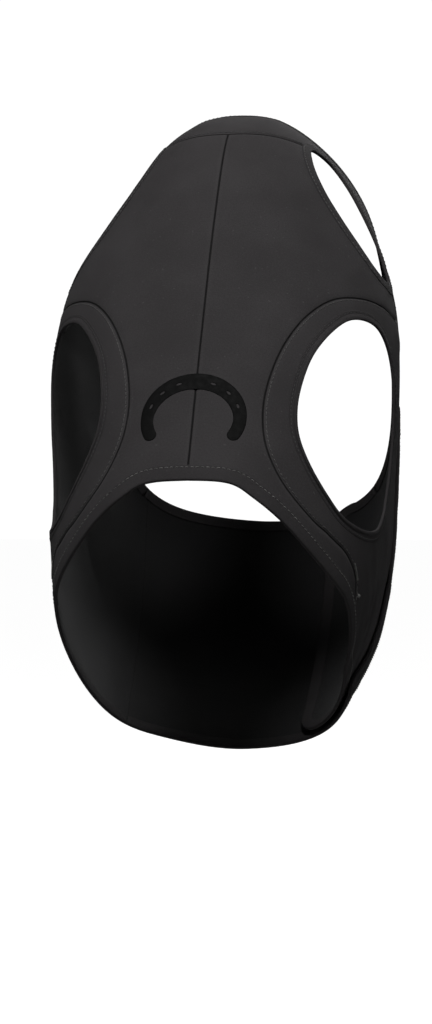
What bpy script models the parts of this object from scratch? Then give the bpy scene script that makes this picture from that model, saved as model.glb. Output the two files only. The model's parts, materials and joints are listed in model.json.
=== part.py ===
"""A stretch fly mask for a horse's face: open eyes and ears, and a hook-and-loop flap under the jaw.

The horse faces -Y and its left is +X. A place on the mask is (down, round): how far it lies down the
face from the poll, and how far round from the middle of the forehead, in millimetres. Round is
positive on the horse's left. The numbers in the tables are millimetres, and the model is metres.
"""

import math

import bmesh
import bpy
import numpy as np
from mathutils import Vector
from mathutils.geometry import delaunay_2d_cdt

MM = 0.001

FACE_TILT = math.radians(35.0)
POLL = (0.0, 10.0, 235.0)

FABRIC = 1.0
BINDING = 0.8
CLEAR = 0.4
SEAM_GAP = 0.5
BINDING_LEG = 7.0
SEAM_TAPE = 10.0
TAPE_STACK = (1.5, 2.5, 3.0, 4.0, 4.8)
PRINT_HEIGHT = 0.3
PRINT_DOWN = 244.0

EDGE_STEP = 12.0
GRID_STEP = 17.0
FLAP_STEP = 12.0
HINGE_POINTS = 19

HINGE_REAR = 88.0
HINGE_FRONT = 66.0
FLAP_END_REAR = -146.0
FLAP_END_FRONT = -118.0
MARGIN = -50.0
CORNER = 18.0

LIFT_START = 48.0
LIFT_RUN = 60.0

TAPE_WIDTH = 36.0
TAPE_END_FRONT = 22.0
TAPE_END_REAR = 52.0
TAPE_MIDDLE = 28.0

# Head sections: how far down the face, then (half width, depth behind the face line) from the
# middle of the forehead round to the middle of the jaw.
HEAD = (
    (-130, ((0, 138), (18, 141), (34, 150), (48, 164), (58, 180), (64, 198), (66, 214), (58, 232), (34, 246),
            (0, 250))),
    (-70, ((0, 70), (19, 73), (36, 86), (51, 105), (65, 132), (74, 162), (76, 194), (66, 226), (38, 244),
           (0, 248))),
    (-20, ((0, 17), (21, 19), (40, 32), (57, 56), (74, 88), (85, 128), (86, 180), (75, 230), (42, 253),
           (0, 257))),
    (30, ((0, -2), (23, -1), (46, 10), (70, 37), (89, 73), (97, 119), (96, 186), (84, 248), (47, 272),
          (0, 276))),
    (80, ((0, -6), (28, -4), (56, 8), (87, 32), (107, 70), (105, 122), (101, 196), (89, 262), (51, 287),
          (0, 291))),
    (130, ((0, -7), (31, -6), (61, 5), (100, 34), (113, 76), (106, 130), (102, 202), (92, 266), (53, 291),
           (0, 295))),
    (190, ((0, -5), (33, -4), (64, 8), (103, 42), (110, 92), (104, 144), (101, 206), (91, 261), (53, 286),
           (0, 290))),
    (250, ((0, -2), (32, 0), (62, 14), (92, 52), (103, 96), (100, 144), (98, 196), (86, 243), (50, 266),
           (0, 270))),
    (310, ((0, 1), (29, 3), (56, 18), (82, 54), (93, 90), (92, 130), (88, 168), (75, 206), (41, 228),
           (0, 232))),
    (370, ((0, 4), (25, 7), (46, 22), (68, 54), (74, 86), (70, 118), (63, 150), (52, 182), (28, 199),
           (0, 203))),
    (430, ((0, 8), (22, 11), (40, 24), (56, 50), (60, 78), (56, 106), (48, 134), (40, 158), (22, 170),
           (0, 173))),
)

# Edges and seams of the left half, as (down, round).
EYE_HOLE = (
    (141, 108), (149, 92), (165, 79), (186, 68), (208, 62), (228, 60), (246, 63), (261, 73), (272, 88),
    (277, 104), (273, 124), (262, 146), (246, 164), (224, 171), (198, 167), (172, 155), (151, 138), (141, 122),
)
EAR_HOLE = (
    (-6, 58), (14, 58), (34, 64), (56, 76), (76, 92), (90, 112),
    (88, 132), (70, 140), (44, 130), (20, 114), (0, 96), (-12, 76),
)
NOSE_EDGE = (
    (286, 0), (287, 25), (294, 40), (302, 58), (310, 78), (315, 100), (317, 125), (322, 145),
    (328, 170), (331, 205), (332, 250), (332, 330),
)
REAR_EDGE = (
    (-46, 0), (-46, 30), (-44, 60), (-38, 90), (-28, 120), (-14, 150), (4, 180), (26, 210),
    (50, 240), (72, 270), (90, 300), (104, 340), (110, 380), (111, 430),
)
SIDE_SEAM = (
    (93, 150), (104, 150), (112, 140), (118, 124), (127, 102), (140, 80), (158, 64), (180, 52), (204, 44),
    (230, 40), (254, 42), (272, 50), (284, 62), (292, 80), (294, 100), (295, 118), (302, 134),
)
SIDE_SEAM_NOSE = 143.0
CROWN_SEAM = ((9, 0), (7, 20), (1, 42))
TEMPLE_SEAM_REAR = 188.0
EAR_CORNERS = ((-11, 70), (84, 136), (64, 139))


def bspline(rows, t):
    """Uniform cubic B-spline over rows of points, at each parameter in t."""
    i = np.clip(np.floor(t).astype(int), 1, len(rows) - 3)
    u = (t - i)[..., None]
    before = (1 - u) ** 3 / 6
    here = (3 * u**3 - 6 * u**2 + 4) / 6
    after = (-3 * u**3 + 3 * u**2 + 3 * u + 1) / 6
    return before * rows[i - 1] + here * rows[i] + after * rows[i + 1] + u**3 / 6 * rows[i + 2]


def head_table(downs=161, rounds=201):
    """The head as an even grid of local points, with the half girth at each distance down."""
    net = np.array([[(x, down, depth) for x, depth in ring] for down, ring in HEAD], float)
    mirror = np.array((-1.0, 1.0, 1.0))
    net = np.concatenate([net[:, 1:2] * mirror, net, net[:, -2:-1] * mirror], axis=1)
    across = np.stack([bspline(ring, np.linspace(1, net.shape[1] - 2, rounds)) for ring in net])
    fine = 401
    along = np.linspace(1, len(HEAD) - 2, fine)
    dense = np.stack([bspline(across[:, j], along) for j in range(rounds)], axis=1)
    down = np.linspace(dense[0, 0, 1], dense[-1, 0, 1], downs)
    place = np.interp(down, dense[:, 0, 1], np.arange(fine))
    low = np.clip(np.floor(place).astype(int), 0, fine - 2)
    part = (place - low)[:, None, None]
    rows = dense[low] * (1 - part) + dense[low + 1] * part
    steps = np.linalg.norm(np.diff(rows, axis=1), axis=2)
    length = np.concatenate([np.zeros((downs, 1)), np.cumsum(steps, axis=1)], axis=1)
    share = np.linspace(0, 1, rounds)
    for row, run in zip(rows, length):
        row[:] = np.stack([np.interp(share * run[-1], run, row[:, c].copy()) for c in range(3)], axis=1)
    return down, length[:, -1], rows


DOWN, HALF_GIRTH, HEAD_POINTS = head_table()


def half_girth(down):
    return np.interp(down, DOWN, HALF_GIRTH)


def surface(places):
    """World points, in millimetres, of (down, round) places. Round may run past the jaw's middle."""
    down, around = np.asarray(places, float).T
    half = half_girth(down)
    around = (around + half) % (2 * half) - half
    i = np.clip((down - DOWN[0]) / (DOWN[1] - DOWN[0]), 0, len(DOWN) - 1.001)
    j = np.clip(np.abs(around) / half * (HEAD_POINTS.shape[1] - 1), 0, HEAD_POINTS.shape[1] - 1.001)
    i0, j0 = i.astype(int), j.astype(int)
    fi, fj = (i - i0)[:, None], (j - j0)[:, None]
    near = HEAD_POINTS[i0, j0] * (1 - fi) + HEAD_POINTS[i0 + 1, j0] * fi
    far = HEAD_POINTS[i0, j0 + 1] * (1 - fi) + HEAD_POINTS[i0 + 1, j0 + 1] * fi
    x, down, depth = (near * (1 - fj) + far * fj).T
    x = x * np.where(around < 0, -1.0, 1.0)
    y = POLL[1] - down * math.sin(FACE_TILT) + depth * math.cos(FACE_TILT)
    z = POLL[2] - down * math.cos(FACE_TILT) - depth * math.sin(FACE_TILT)
    return np.stack([x + POLL[0], y, z], axis=1)


def outward(places, reach=3.0):
    places = np.asarray(places, float)
    down_step, round_step = np.array((reach, 0.0)), np.array((0.0, reach))
    along = surface(places + down_step) - surface(places - down_step)
    across = surface(places + round_step) - surface(places - round_step)
    normal = np.cross(along, across)
    return normal / np.linalg.norm(normal, axis=1, keepdims=True)


def smooth(points, step=EDGE_STEP, closed=False):
    """A Catmull-Rom curve through the points, cut into even steps."""
    points = np.array(points, float)
    if closed:
        padded = np.vstack([points[-1:], points, points[:2]])
    else:
        padded = np.vstack([2 * points[0] - points[1], points, 2 * points[-1] - points[-2]])
    fine = []
    for a, b, c, d in zip(padded, padded[1:], padded[2:], padded[3:]):
        for u in np.linspace(0, 1, 24, endpoint=False):
            bend = (2 * a - 5 * b + 4 * c - d) * u**2 + (-a + 3 * b - 3 * c + d) * u**3
            fine.append(0.5 * (2 * b + (c - a) * u + bend))
    fine.append(fine[0] if closed else points[-1])
    return even(np.array(fine), step, closed)


def even(line, step, closed=False):
    run = np.concatenate([[0], np.cumsum(np.linalg.norm(np.diff(line, axis=0), axis=1))])
    count = max(2, round(run[-1] / step)) + 1
    at = np.linspace(0, run[-1], count)
    cut = np.stack([np.interp(at, run, line[:, 0]), np.interp(at, run, line[:, 1])], axis=1)
    return cut[:-1] if closed else cut


def sideways(line, closed=False):
    """Unit vectors across a (down, round) line, to its left as down runs right and round runs up."""
    if closed:
        along = np.roll(line, -1, axis=0) - np.roll(line, 1, axis=0)
    else:
        along = np.gradient(line, axis=0)
    along /= np.linalg.norm(along, axis=1, keepdims=True)
    return np.stack([-along[:, 1], along[:, 0]], axis=1)


def signed_area(loop):
    following = np.roll(loop, -1, axis=0)
    return 0.5 * np.sum(loop[:, 0] * following[:, 1] - following[:, 0] * loop[:, 1])


def inset(loop, distance):
    """The closed loop moved towards its inside."""
    if signed_area(loop) < 0:
        loop = loop[::-1]
    before = loop - np.roll(loop, 1, axis=0)
    after = np.roll(loop, -1, axis=0) - loop
    before /= np.linalg.norm(before, axis=1, keepdims=True)
    after /= np.linalg.norm(after, axis=1, keepdims=True)
    first = np.stack([-before[:, 1], before[:, 0]], axis=1)
    second = np.stack([-after[:, 1], after[:, 0]], axis=1)
    both = first + second
    both /= np.maximum(np.sum(both * first, axis=1, keepdims=True), 0.4)
    return loop + both * distance


def inside(points, loop):
    x, y = points[:, :1], points[:, 1:]
    x0, y0 = loop.T
    x1, y1 = np.roll(loop, -1, axis=0).T
    crosses = (y0 > y) != (y1 > y)
    reach = (x1 - x0) * (y - y0) / np.where(y1 == y0, 1e-9, y1 - y0) + x0
    return (crosses & (x < reach)).sum(axis=1) % 2 == 1


def edge_distance(points, loop):
    start, stop = loop, np.roll(loop, -1, axis=0)
    run = stop - start
    offset = points[:, None] - start
    share = np.clip((offset * run).sum(axis=2) / (run * run).sum(axis=1), 0, 1)
    return np.linalg.norm(offset - share[..., None] * run, axis=2).min(axis=1)


def filled(outline, holes, step):
    """Places and triangles that fill an outline round its holes, with one row along every edge."""
    row = BINDING_LEG + 1.0
    loops = [outline] + holes
    rings = [inset(outline, row)] + [inset(hole, -row) for hole in holes]
    ring = np.concatenate(rings)
    low, high = outline.min(axis=0), outline.max(axis=0)
    rise = step * math.sqrt(0.75)
    grid = np.array([
        (low[0] + step * (i + 0.5 * (j % 2)), low[1] + rise * j)
        for j in range(int((high[1] - low[1]) / rise) + 1)
        for i in range(int((high[0] - low[0]) / step) + 1)
    ])

    def kept(points, clear):
        good = inside(points, outline)
        for hole in holes:
            good &= ~inside(points, hole)
        for loop in loops:
            good &= edge_distance(points, loop) > clear
        return points[good]

    points = np.concatenate(loops + [kept(ring, row * 0.8), kept(grid, row + 0.55 * step)])
    edges = []
    start = 0
    for loop in loops:
        count = len(loop)
        edges += [(start + i, start + (i + 1) % count) for i in range(count)]
        start += count
    places, _, faces, *_ = delaunay_2d_cdt([Vector(p) for p in points], edges, [], 0, 1e-5)
    places = np.array([tuple(p) for p in places])
    faces = np.array([tuple(f) for f in faces])
    middle = places[faces].mean(axis=1)
    good = inside(middle, outline)
    for hole in holes:
        good &= ~inside(middle, hole)
    return places, faces[good]


def new_object(name, points, faces, material):
    mesh = bpy.data.meshes.new(name)
    mesh.from_pydata([tuple(p) for p in np.asarray(points) * MM], [], [tuple(map(int, f)) for f in faces])
    shape = bmesh.new()
    shape.from_mesh(mesh)
    loose = [v for v in shape.verts if not v.link_faces]
    bmesh.ops.delete(shape, geom=loose, context="VERTS")
    bmesh.ops.triangulate(shape, faces=shape.faces)
    bmesh.ops.recalc_face_normals(shape, faces=shape.faces)
    if shape.calc_volume(signed=True) < 0:
        bmesh.ops.reverse_faces(shape, faces=shape.faces)
    shape.to_mesh(mesh)
    shape.free()
    mesh.materials.append(material)
    obj = bpy.data.objects.new(name, mesh)
    bpy.context.scene.collection.objects.link(obj)
    return obj


def place_on_jaw(places):
    """Places given from the jaw's middle, with round positive towards the horse's right."""
    places = np.array(places, float)
    places[:, 1] += half_girth(places[:, 0])
    return places


def same(places):
    return places


def no_lift(places):
    return np.zeros(len(places))


def panel(name, material, outline, holes=(), to_mask=same, lift=no_lift, step=GRID_STEP, side=1):
    """A sheet of fabric cut to an outline and laid on the head."""
    outline = inset(np.array(outline, float), SEAM_GAP / 2)
    holes = [inset(np.array(hole, float), -SEAM_GAP / 2) for hole in holes]
    places, faces = filled(outline, holes, step)
    rise = lift(places)[:, None]
    on_mask = to_mask(places) * (1, side)
    ground, normal = surface(on_mask), outward(on_mask)
    low, high = ground + normal * rise, ground + normal * (rise + FABRIC)
    count = len(places)
    return new_object(name, np.vstack([low, high]), closed_faces(faces, count), material)


def closed_faces(faces, count):
    """Both sides of a sheet of triangles, and the wall round every edge."""
    ends = np.concatenate([faces[:, [0, 1]], faces[:, [1, 2]], faces[:, [2, 0]]])
    _, first, uses = np.unique(np.sort(ends, axis=1), axis=0, return_index=True, return_counts=True)
    rim = ends[first[uses == 1]]
    walls = [(a, b, b + count, a + count) for a, b in rim]
    return [tuple(f[::-1]) for f in faces] + [tuple(f + count) for f in faces] + walls


def sweep(name, material, line, profile, closed=False, to_mask=same, lift=no_lift, side=1):
    """A profile of (across, height) points carried along a line, following the head's surface."""
    line = np.array(line, float)
    across = sideways(line, closed)
    rings = []
    for over, height in profile:
        places = line + across * over
        on_mask = to_mask(places) * (1, side)
        rise = (lift(places) + height)[:, None]
        rings.append(surface(on_mask) + outward(on_mask) * rise)
    points = np.stack(rings, axis=1)
    count, ring = points.shape[:2]
    faces = []
    for i in range(count if closed else count - 1):
        here, following = i * ring, (i + 1) % count * ring
        for j in range(ring):
            k = (j + 1) % ring
            faces.append((here + j, following + j, following + k, here + k))
    if not closed:
        faces += [tuple(range(ring)), tuple(range((count - 1) * ring, count * ring))[::-1]]
    return new_object(name, points.reshape(-1, 3), faces, material)


def fold_profile():
    """The section of a binding folded over an edge at 0, with the fabric on the minus side."""
    top, under = FABRIC + CLEAR, -CLEAR
    return (
        (-BINDING_LEG, top + BINDING), (CLEAR + BINDING, top + BINDING),
        (CLEAR + BINDING, under - BINDING), (-BINDING_LEG, under - BINDING),
        (-BINDING_LEG, under), (CLEAR, under), (CLEAR, top), (-BINDING_LEG, top),
    )


def flat_profile(width, low, high, parts=2):
    across = np.linspace(-width / 2, width / 2, parts + 1)
    return tuple((a, high) for a in across) + tuple((a, low) for a in across[::-1])


def binding(name, material, line, fabric_left, **options):
    """Edge binding. fabric_left tells on which side of the line the fabric lies."""
    line = np.array(line, float)
    return sweep(name, material, line[::-1] if fabric_left else line, fold_profile(), **options)


def round_cut(loop, start, stop):
    """The stretch of a closed loop from the place nearest to start on to the one nearest to stop."""
    first = np.linalg.norm(loop - start, axis=1).argmin()
    turned = np.roll(loop, -first, axis=0)
    last = np.linalg.norm(turned - stop, axis=1).argmin()
    return turned[: last + 1]


def at_round(line, around):
    order = np.argsort(line[:, 1])
    return np.array((np.interp(around, line[order, 1], line[order, 0]), around))


NOSE = smooth(NOSE_EDGE, 3.0)
REAR = smooth(REAR_EDGE, 3.0)
EYE = smooth(EYE_HOLE, closed=True)
EAR = smooth(EAR_HOLE, step=10.0, closed=True)


def edge_run(edge, start, stop, step=EDGE_STEP):
    """An edge between two distances round, cut into even steps."""
    around = np.linspace(start, stop, max(2, round(abs(stop - start) / 3)) + 1)
    return even(np.array([at_round(edge, r) for r in around]), step)


def jaw_run(edge, start, stop, step=EDGE_STEP):
    """An edge between two distances from the jaw's middle, in jaw places."""
    line = []
    for around in np.linspace(start, stop, max(2, round(abs(stop - start) / 3)) + 1):
        down = edge[-1, 0]
        for _ in range(8):
            down = at_round(edge, half_girth(down) - abs(around))[0]
        line.append((down, around))
    return even(np.array(line), step)


def half_round(down, from_jaw):
    """Distance round from the forehead of a place given from the jaw's middle."""
    return half_girth(down) - abs(from_jaw)


def hinge_line(offset=0.0):
    """The line of the flap's hinge, as jaw places from front to rear."""
    front = jaw_run(NOSE, HINGE_FRONT, HINGE_FRONT + 1)[0]
    rear = jaw_run(REAR, HINGE_REAR, HINGE_REAR + 1)[0]
    share = np.linspace(0, 1, HINGE_POINTS)[:, None]
    line = front * (1 - share) + rear * share
    return line + (0, offset)


def rounded(first, corner, second, radius=CORNER):
    """Places that turn from the end of one run to the start of the next round a corner."""
    first, corner, second = (np.array(p, float) for p in (first, corner, second))
    enter = corner + (first - corner) / np.linalg.norm(first - corner) * radius
    leave = corner + (second - corner) / np.linalg.norm(second - corner) * radius
    t = np.linspace(0, 1, 5)[:, None]
    return (1 - t) ** 2 * enter + 2 * t * (1 - t) * corner + t**2 * leave


def with_corners(front, side, rear):
    """Front edge, free side and rear edge joined through two round corners."""
    first = rounded(front[0], front[-1], side[-1])
    last = rounded(side[0], side[-1], rear[-1])
    front = front[np.linalg.norm(front - front[-1], axis=1) > CORNER + 2]
    rear = rear[np.linalg.norm(rear - rear[0], axis=1) > CORNER + 2]
    from_start = np.linalg.norm(side - side[0], axis=1)
    from_end = np.linalg.norm(side - side[-1], axis=1)
    middle = side[(from_start > CORNER + 2) & (from_end > CORNER + 2)]
    return np.vstack([front, first, middle, last, rear])


def flap_edge():
    """The flap's bound edge, in jaw places: front edge, free side and rear edge."""
    front = jaw_run(NOSE, HINGE_FRONT - SEAM_GAP, FLAP_END_FRONT)
    rear = jaw_run(REAR, FLAP_END_REAR, HINGE_REAR - SEAM_GAP)
    side = even(np.array([front[-1], rear[0]]), EDGE_STEP)
    return with_corners(front, side, rear)


def margin_edge():
    """The left panel's bound edge under the flap, in jaw places."""
    front = jaw_run(NOSE, MARGIN - 40, MARGIN)
    rear = jaw_run(REAR, MARGIN, MARGIN - 40)
    side = even(np.array([front[-1], rear[0]]), EDGE_STEP)
    return with_corners(front, side, rear)


def flap_lift(places):
    """How far the flap stands off the head: none at the hinge, and clear of both tapes at its end."""
    share = np.clip((LIFT_START - places[:, 1]) / LIFT_RUN, 0, 1)
    return TAPE_STACK[4] * share * share * (3 - 2 * share)


def stacked(height):
    def lift(places):
        return np.full(len(places), height)

    return lift


def material(name, colour, roughness, sheen=0.0):
    made = bpy.data.materials.new(name)
    made.use_nodes = True
    shader = made.node_tree.nodes["Principled BSDF"]
    shader.inputs["Base Color"].default_value = (*colour, 1)
    shader.inputs["Roughness"].default_value = roughness
    shader.inputs["Sheen Weight"].default_value = sheen
    return made


def clear_scene():
    for obj in list(bpy.data.objects):
        bpy.data.objects.remove(obj, do_unlink=True)


def face_outline(side_seam, crown_seam, ear_front, seam_foot):
    centre = even(np.array([(CROWN_SEAM[0][0], 0.0), (NOSE_EDGE[0][0], 0.0)]), EDGE_STEP)
    nose = edge_run(NOSE, 0, seam_foot[1])
    runs = (centre, nose, side_seam[::-1], ear_front[::-1], crown_seam[::-1])
    return np.vstack([run[:-1] for run in runs])


def seams():
    """The seam lines of the left half, each as (down, round) places."""
    foot = at_round(NOSE, SIDE_SEAM_NOSE)
    inner, lower, back = (EAR[np.linalg.norm(EAR - corner, axis=1).argmin()] for corner in EAR_CORNERS)
    heel = at_round(REAR, TEMPLE_SEAM_REAR)
    middle = (back + heel) / 2 + (8, 2)
    return {
        "side": smooth([lower, *SIDE_SEAM, foot]),
        "crown": smooth([*CROWN_SEAM, inner]),
        "temple": smooth([back, middle, heel]),
        "ear_front": round_cut(EAR, inner, lower),
        "ear_lower": round_cut(EAR, lower, back),
        "ear_back": round_cut(EAR, back, inner),
        "foot": foot,
        "heel": heel,
    }


def both_halves(line):
    """A line from the middle of the forehead, joined to its mirror image."""
    mirrored = line[1:][::-1] * (1, -1)
    return np.vstack([mirrored, line])


def build_face(cloth, line):
    outline = face_outline(line["side"], line["crown"], line["ear_front"], line["foot"])
    panel("face_panel_left", cloth, outline)
    panel("face_panel_right", cloth, outline, side=-1)


def build_poll(cloth, line):
    rear = edge_run(REAR, 0, TEMPLE_SEAM_REAR)
    half = np.vstack([line["crown"][:-1], line["ear_back"][::-1][:-1], line["temple"]])
    front = both_halves(half)
    panel("poll_band", cloth, np.vstack([front, both_halves(rear)[::-1][1:-1]]))


def side_outline(line, lower_edge):
    seam_top = line["side"][:-1]
    return np.vstack([seam_top, lower_edge[:-1], line["temple"][::-1][:-1], line["ear_lower"][::-1][:-1]])


def build_sides(cloth, line):
    nose_end = half_round(NOSE_EDGE[-1][0], MARGIN - 40)
    margin = place_on_jaw(margin_edge())
    margin_start, margin_stop = margin[0, 1], margin[-1, 1]
    nose = edge_run(NOSE, SIDE_SEAM_NOSE, min(nose_end, margin_start) - 4)
    rear = edge_run(REAR, margin_stop - 6, TEMPLE_SEAM_REAR)
    lower = np.vstack([nose, margin, rear])
    panel("side_panel_left", cloth, side_outline(line, lower), [EYE])

    hinge = hinge_line(SEAM_GAP)
    hinge[:, 1] = half_girth(hinge[:, 0]) - hinge[:, 1]
    nose = edge_run(NOSE, SIDE_SEAM_NOSE, hinge[0, 1])
    rear = edge_run(REAR, hinge[-1, 1], TEMPLE_SEAM_REAR)
    lower = np.vstack([nose[:-1], hinge[:-1], rear])
    panel("side_panel_right", cloth, side_outline(line, lower), [EYE], side=-1)


def build_flap(cloth, elastic, hook):
    edge = flap_edge()
    outline = np.vstack([edge, hinge_line(-SEAM_GAP)[::-1][1:-1]])
    panel("jaw_flap", cloth, outline, to_mask=place_on_jaw, lift=flap_lift, step=FLAP_STEP)
    inner = edge[(edge[:, 1] < HINGE_FRONT - 6) | (edge[:, 0] < 200)]
    inner = inner[inner[:, 1] < HINGE_REAR - 6]
    binding("flap_binding", elastic, inner, False, to_mask=place_on_jaw, lift=flap_lift)
    tape_line = closure_line()
    low, high = TAPE_STACK[2] - TAPE_STACK[0], TAPE_STACK[3] - TAPE_STACK[0]
    sweep("hook_tape", hook, tape_line, flat_profile(TAPE_WIDTH, low, high, 4),
          to_mask=place_on_jaw, lift=stacked(TAPE_STACK[0]))


def closure_line():
    """The middle of both closure tapes, in jaw places, beside the flap's free side."""
    front = jaw_run(NOSE, FLAP_END_FRONT - 1, FLAP_END_FRONT)[-1]
    rear = jaw_run(REAR, FLAP_END_REAR, FLAP_END_REAR + 1)[0]
    return trimmed(np.array([front, rear]) + (0, TAPE_MIDDLE), TAPE_END_FRONT, TAPE_END_REAR)


def build_bindings(elastic):
    for side, name in ((1, "left"), (-1, "right")):
        binding(f"eye_binding_{name}", elastic, EYE, False, closed=True, side=side)
        binding(f"ear_binding_{name}", elastic, EAR, False, closed=True, side=side)
    hinge = hinge_line(SEAM_GAP)
    right_front = half_girth(hinge[0, 0]) - hinge[0, 1]
    right_rear = half_girth(hinge[-1, 0]) - hinge[-1, 1]
    margin = place_on_jaw(margin_edge())
    nose = np.vstack([
        edge_run(NOSE, right_front - 2, 0)[:-1] * (1, -1),
        edge_run(NOSE, 0, margin[0, 1] - 3),
    ])
    binding("nose_binding", elastic, nose, True)
    rear = np.vstack([
        edge_run(REAR, right_rear - 2, 0)[:-1] * (1, -1),
        edge_run(REAR, 0, margin[-1, 1] - 3),
    ])
    binding("rear_binding", elastic, rear, False)
    binding("margin_binding", elastic, margin_edge(), True, to_mask=place_on_jaw)


def build_tapes(loop, tape, line):
    sweep("loop_tape", loop, closure_line(), flat_profile(TAPE_WIDTH, 0, TAPE_STACK[1] - TAPE_STACK[0], 4),
          to_mask=place_on_jaw, lift=stacked(TAPE_STACK[0]))
    low, high = -CLEAR - BINDING, -CLEAR
    profile = flat_profile(SEAM_TAPE, low, high)
    centre = even(np.array([(CROWN_SEAM[0][0] + 9.0, 0.0), (NOSE_EDGE[0][0] - 10.0, 0.0)]), EDGE_STEP)
    sweep("centre_seam_tape", tape, centre, profile)
    crown = both_halves(line["crown"])
    crown = crown[np.abs(crown[:, 1]) < CROWN_SEAM[-1][1] + 3]
    sweep("crown_seam_tape", tape, crown, profile)
    for side, name in ((1, "left"), (-1, "right")):
        run = trimmed(line["side"], 11.0, 15.0)
        sweep(f"side_seam_tape_{name}", tape, run, profile, side=side)
        run = trimmed(line["temple"], 11.0, 11.0)
        sweep(f"temple_seam_tape_{name}", tape, run, profile, side=side)


def trimmed(line, start, stop):
    """A line without its first and last few millimetres."""
    run = np.concatenate([[0], np.cumsum(np.linalg.norm(np.diff(line, axis=0), axis=1))])
    count = max(2, round((run[-1] - start - stop) / EDGE_STEP)) + 1
    at = np.linspace(start, run[-1] - stop, count)
    return np.stack([np.interp(at, run, line[:, 0]), np.interp(at, run, line[:, 1])], axis=1)


def build_print(ink):
    """A plain horseshoe, open towards the nose."""
    turn = np.radians(np.linspace(-205, 25, 24))
    line = np.stack([PRINT_DOWN + 25 * np.sin(turn), 27 * np.cos(turn)], axis=1)
    profile = flat_profile(10.0, FABRIC + CLEAR, FABRIC + CLEAR + PRINT_HEIGHT, 2)
    sweep("forehead_print", ink, line, profile)


def main():
    clear_scene()
    cloth = material("stretch_fabric", (0.032, 0.031, 0.033), 0.85, 0.3)
    elastic = material("binding_elastic", (0.022, 0.022, 0.024), 0.75, 0.2)
    tape = material("seam_tape", (0.03, 0.03, 0.032), 0.7)
    loop = material("loop_fabric", (0.02, 0.02, 0.021), 0.95, 0.4)
    hook = material("hook_nylon", (0.015, 0.015, 0.016), 0.5)
    ink = material("print_ink", (0.006, 0.006, 0.006), 0.35)
    line = seams()
    build_face(cloth, line)
    build_poll(cloth, line)
    build_sides(cloth, line)
    build_flap(cloth, elastic, hook)
    build_bindings(elastic)
    build_tapes(loop, tape, line)
    build_print(ink)


main()
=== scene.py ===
"""The looks of a stretch fly mask: cloth panels, hems, seams, thread, closure tapes and a printed horseshoe.

A place on the mask is (down, round): how far it lies down the face from the poll, and how far round
from the middle of the forehead, positive on the horse's left. Lengths are in millimetres until a
mesh is made, and the mesh is in metres.
"""

import json
import math

import bmesh
import bpy
import numpy as np
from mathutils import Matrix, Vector
from mathutils.geometry import delaunay_2d_cdt


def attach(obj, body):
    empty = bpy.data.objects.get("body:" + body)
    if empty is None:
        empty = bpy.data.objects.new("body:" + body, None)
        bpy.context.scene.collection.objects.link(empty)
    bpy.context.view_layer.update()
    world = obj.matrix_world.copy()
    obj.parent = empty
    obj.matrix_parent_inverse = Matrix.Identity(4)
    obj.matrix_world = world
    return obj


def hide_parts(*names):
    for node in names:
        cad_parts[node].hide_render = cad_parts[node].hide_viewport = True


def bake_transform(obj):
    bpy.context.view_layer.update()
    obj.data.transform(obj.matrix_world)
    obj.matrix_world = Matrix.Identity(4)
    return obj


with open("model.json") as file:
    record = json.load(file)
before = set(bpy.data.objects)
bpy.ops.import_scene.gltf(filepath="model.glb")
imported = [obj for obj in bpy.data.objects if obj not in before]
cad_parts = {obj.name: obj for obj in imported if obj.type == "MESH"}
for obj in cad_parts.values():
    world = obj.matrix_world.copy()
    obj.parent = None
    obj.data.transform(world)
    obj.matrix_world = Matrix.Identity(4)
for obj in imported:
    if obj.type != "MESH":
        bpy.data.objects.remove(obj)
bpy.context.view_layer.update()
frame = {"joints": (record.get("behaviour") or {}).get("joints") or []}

MM = 0.001
SIDES = (("left", 1), ("right", -1))

# The form of the head that the mask is stretched on, and the cut of the mask: the same as the solids'.
FACE_TILT = math.radians(35.0)
POLL = (0.0, 10.0, 235.0)
HEAD = (
    (-130, ((0, 138), (18, 141), (34, 150), (48, 164), (58, 180), (64, 198), (66, 214), (58, 232), (34, 246),
            (0, 250))),
    (-70, ((0, 70), (19, 73), (36, 86), (51, 105), (65, 132), (74, 162), (76, 194), (66, 226), (38, 244),
           (0, 248))),
    (-20, ((0, 17), (21, 19), (40, 32), (57, 56), (74, 88), (85, 128), (86, 180), (75, 230), (42, 253),
           (0, 257))),
    (30, ((0, -2), (23, -1), (46, 10), (70, 37), (89, 73), (97, 119), (96, 186), (84, 248), (47, 272),
          (0, 276))),
    (80, ((0, -6), (28, -4), (56, 8), (87, 32), (107, 70), (105, 122), (101, 196), (89, 262), (51, 287),
          (0, 291))),
    (130, ((0, -7), (31, -6), (61, 5), (100, 34), (113, 76), (106, 130), (102, 202), (92, 266), (53, 291),
           (0, 295))),
    (190, ((0, -5), (33, -4), (64, 8), (103, 42), (110, 92), (104, 144), (101, 206), (91, 261), (53, 286),
           (0, 290))),
    (250, ((0, -2), (32, 0), (62, 14), (92, 52), (103, 96), (100, 144), (98, 196), (86, 243), (50, 266),
           (0, 270))),
    (310, ((0, 1), (29, 3), (56, 18), (82, 54), (93, 90), (92, 130), (88, 168), (75, 206), (41, 228),
           (0, 232))),
    (370, ((0, 4), (25, 7), (46, 22), (68, 54), (74, 86), (70, 118), (63, 150), (52, 182), (28, 199),
           (0, 203))),
    (430, ((0, 8), (22, 11), (40, 24), (56, 50), (60, 78), (56, 106), (48, 134), (40, 158), (22, 170),
           (0, 173))),
)
EYE_HOLE = (
    (141, 108), (149, 92), (165, 79), (186, 68), (208, 62), (228, 60), (246, 63), (261, 73), (272, 88),
    (277, 104), (273, 124), (262, 146), (246, 164), (224, 171), (198, 167), (172, 155), (151, 138),
    (141, 122),
)
EAR_HOLE = (
    (-6, 58), (14, 58), (34, 64), (56, 76), (76, 92), (90, 112),
    (88, 132), (70, 140), (44, 130), (20, 114), (0, 96), (-12, 76),
)
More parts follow.
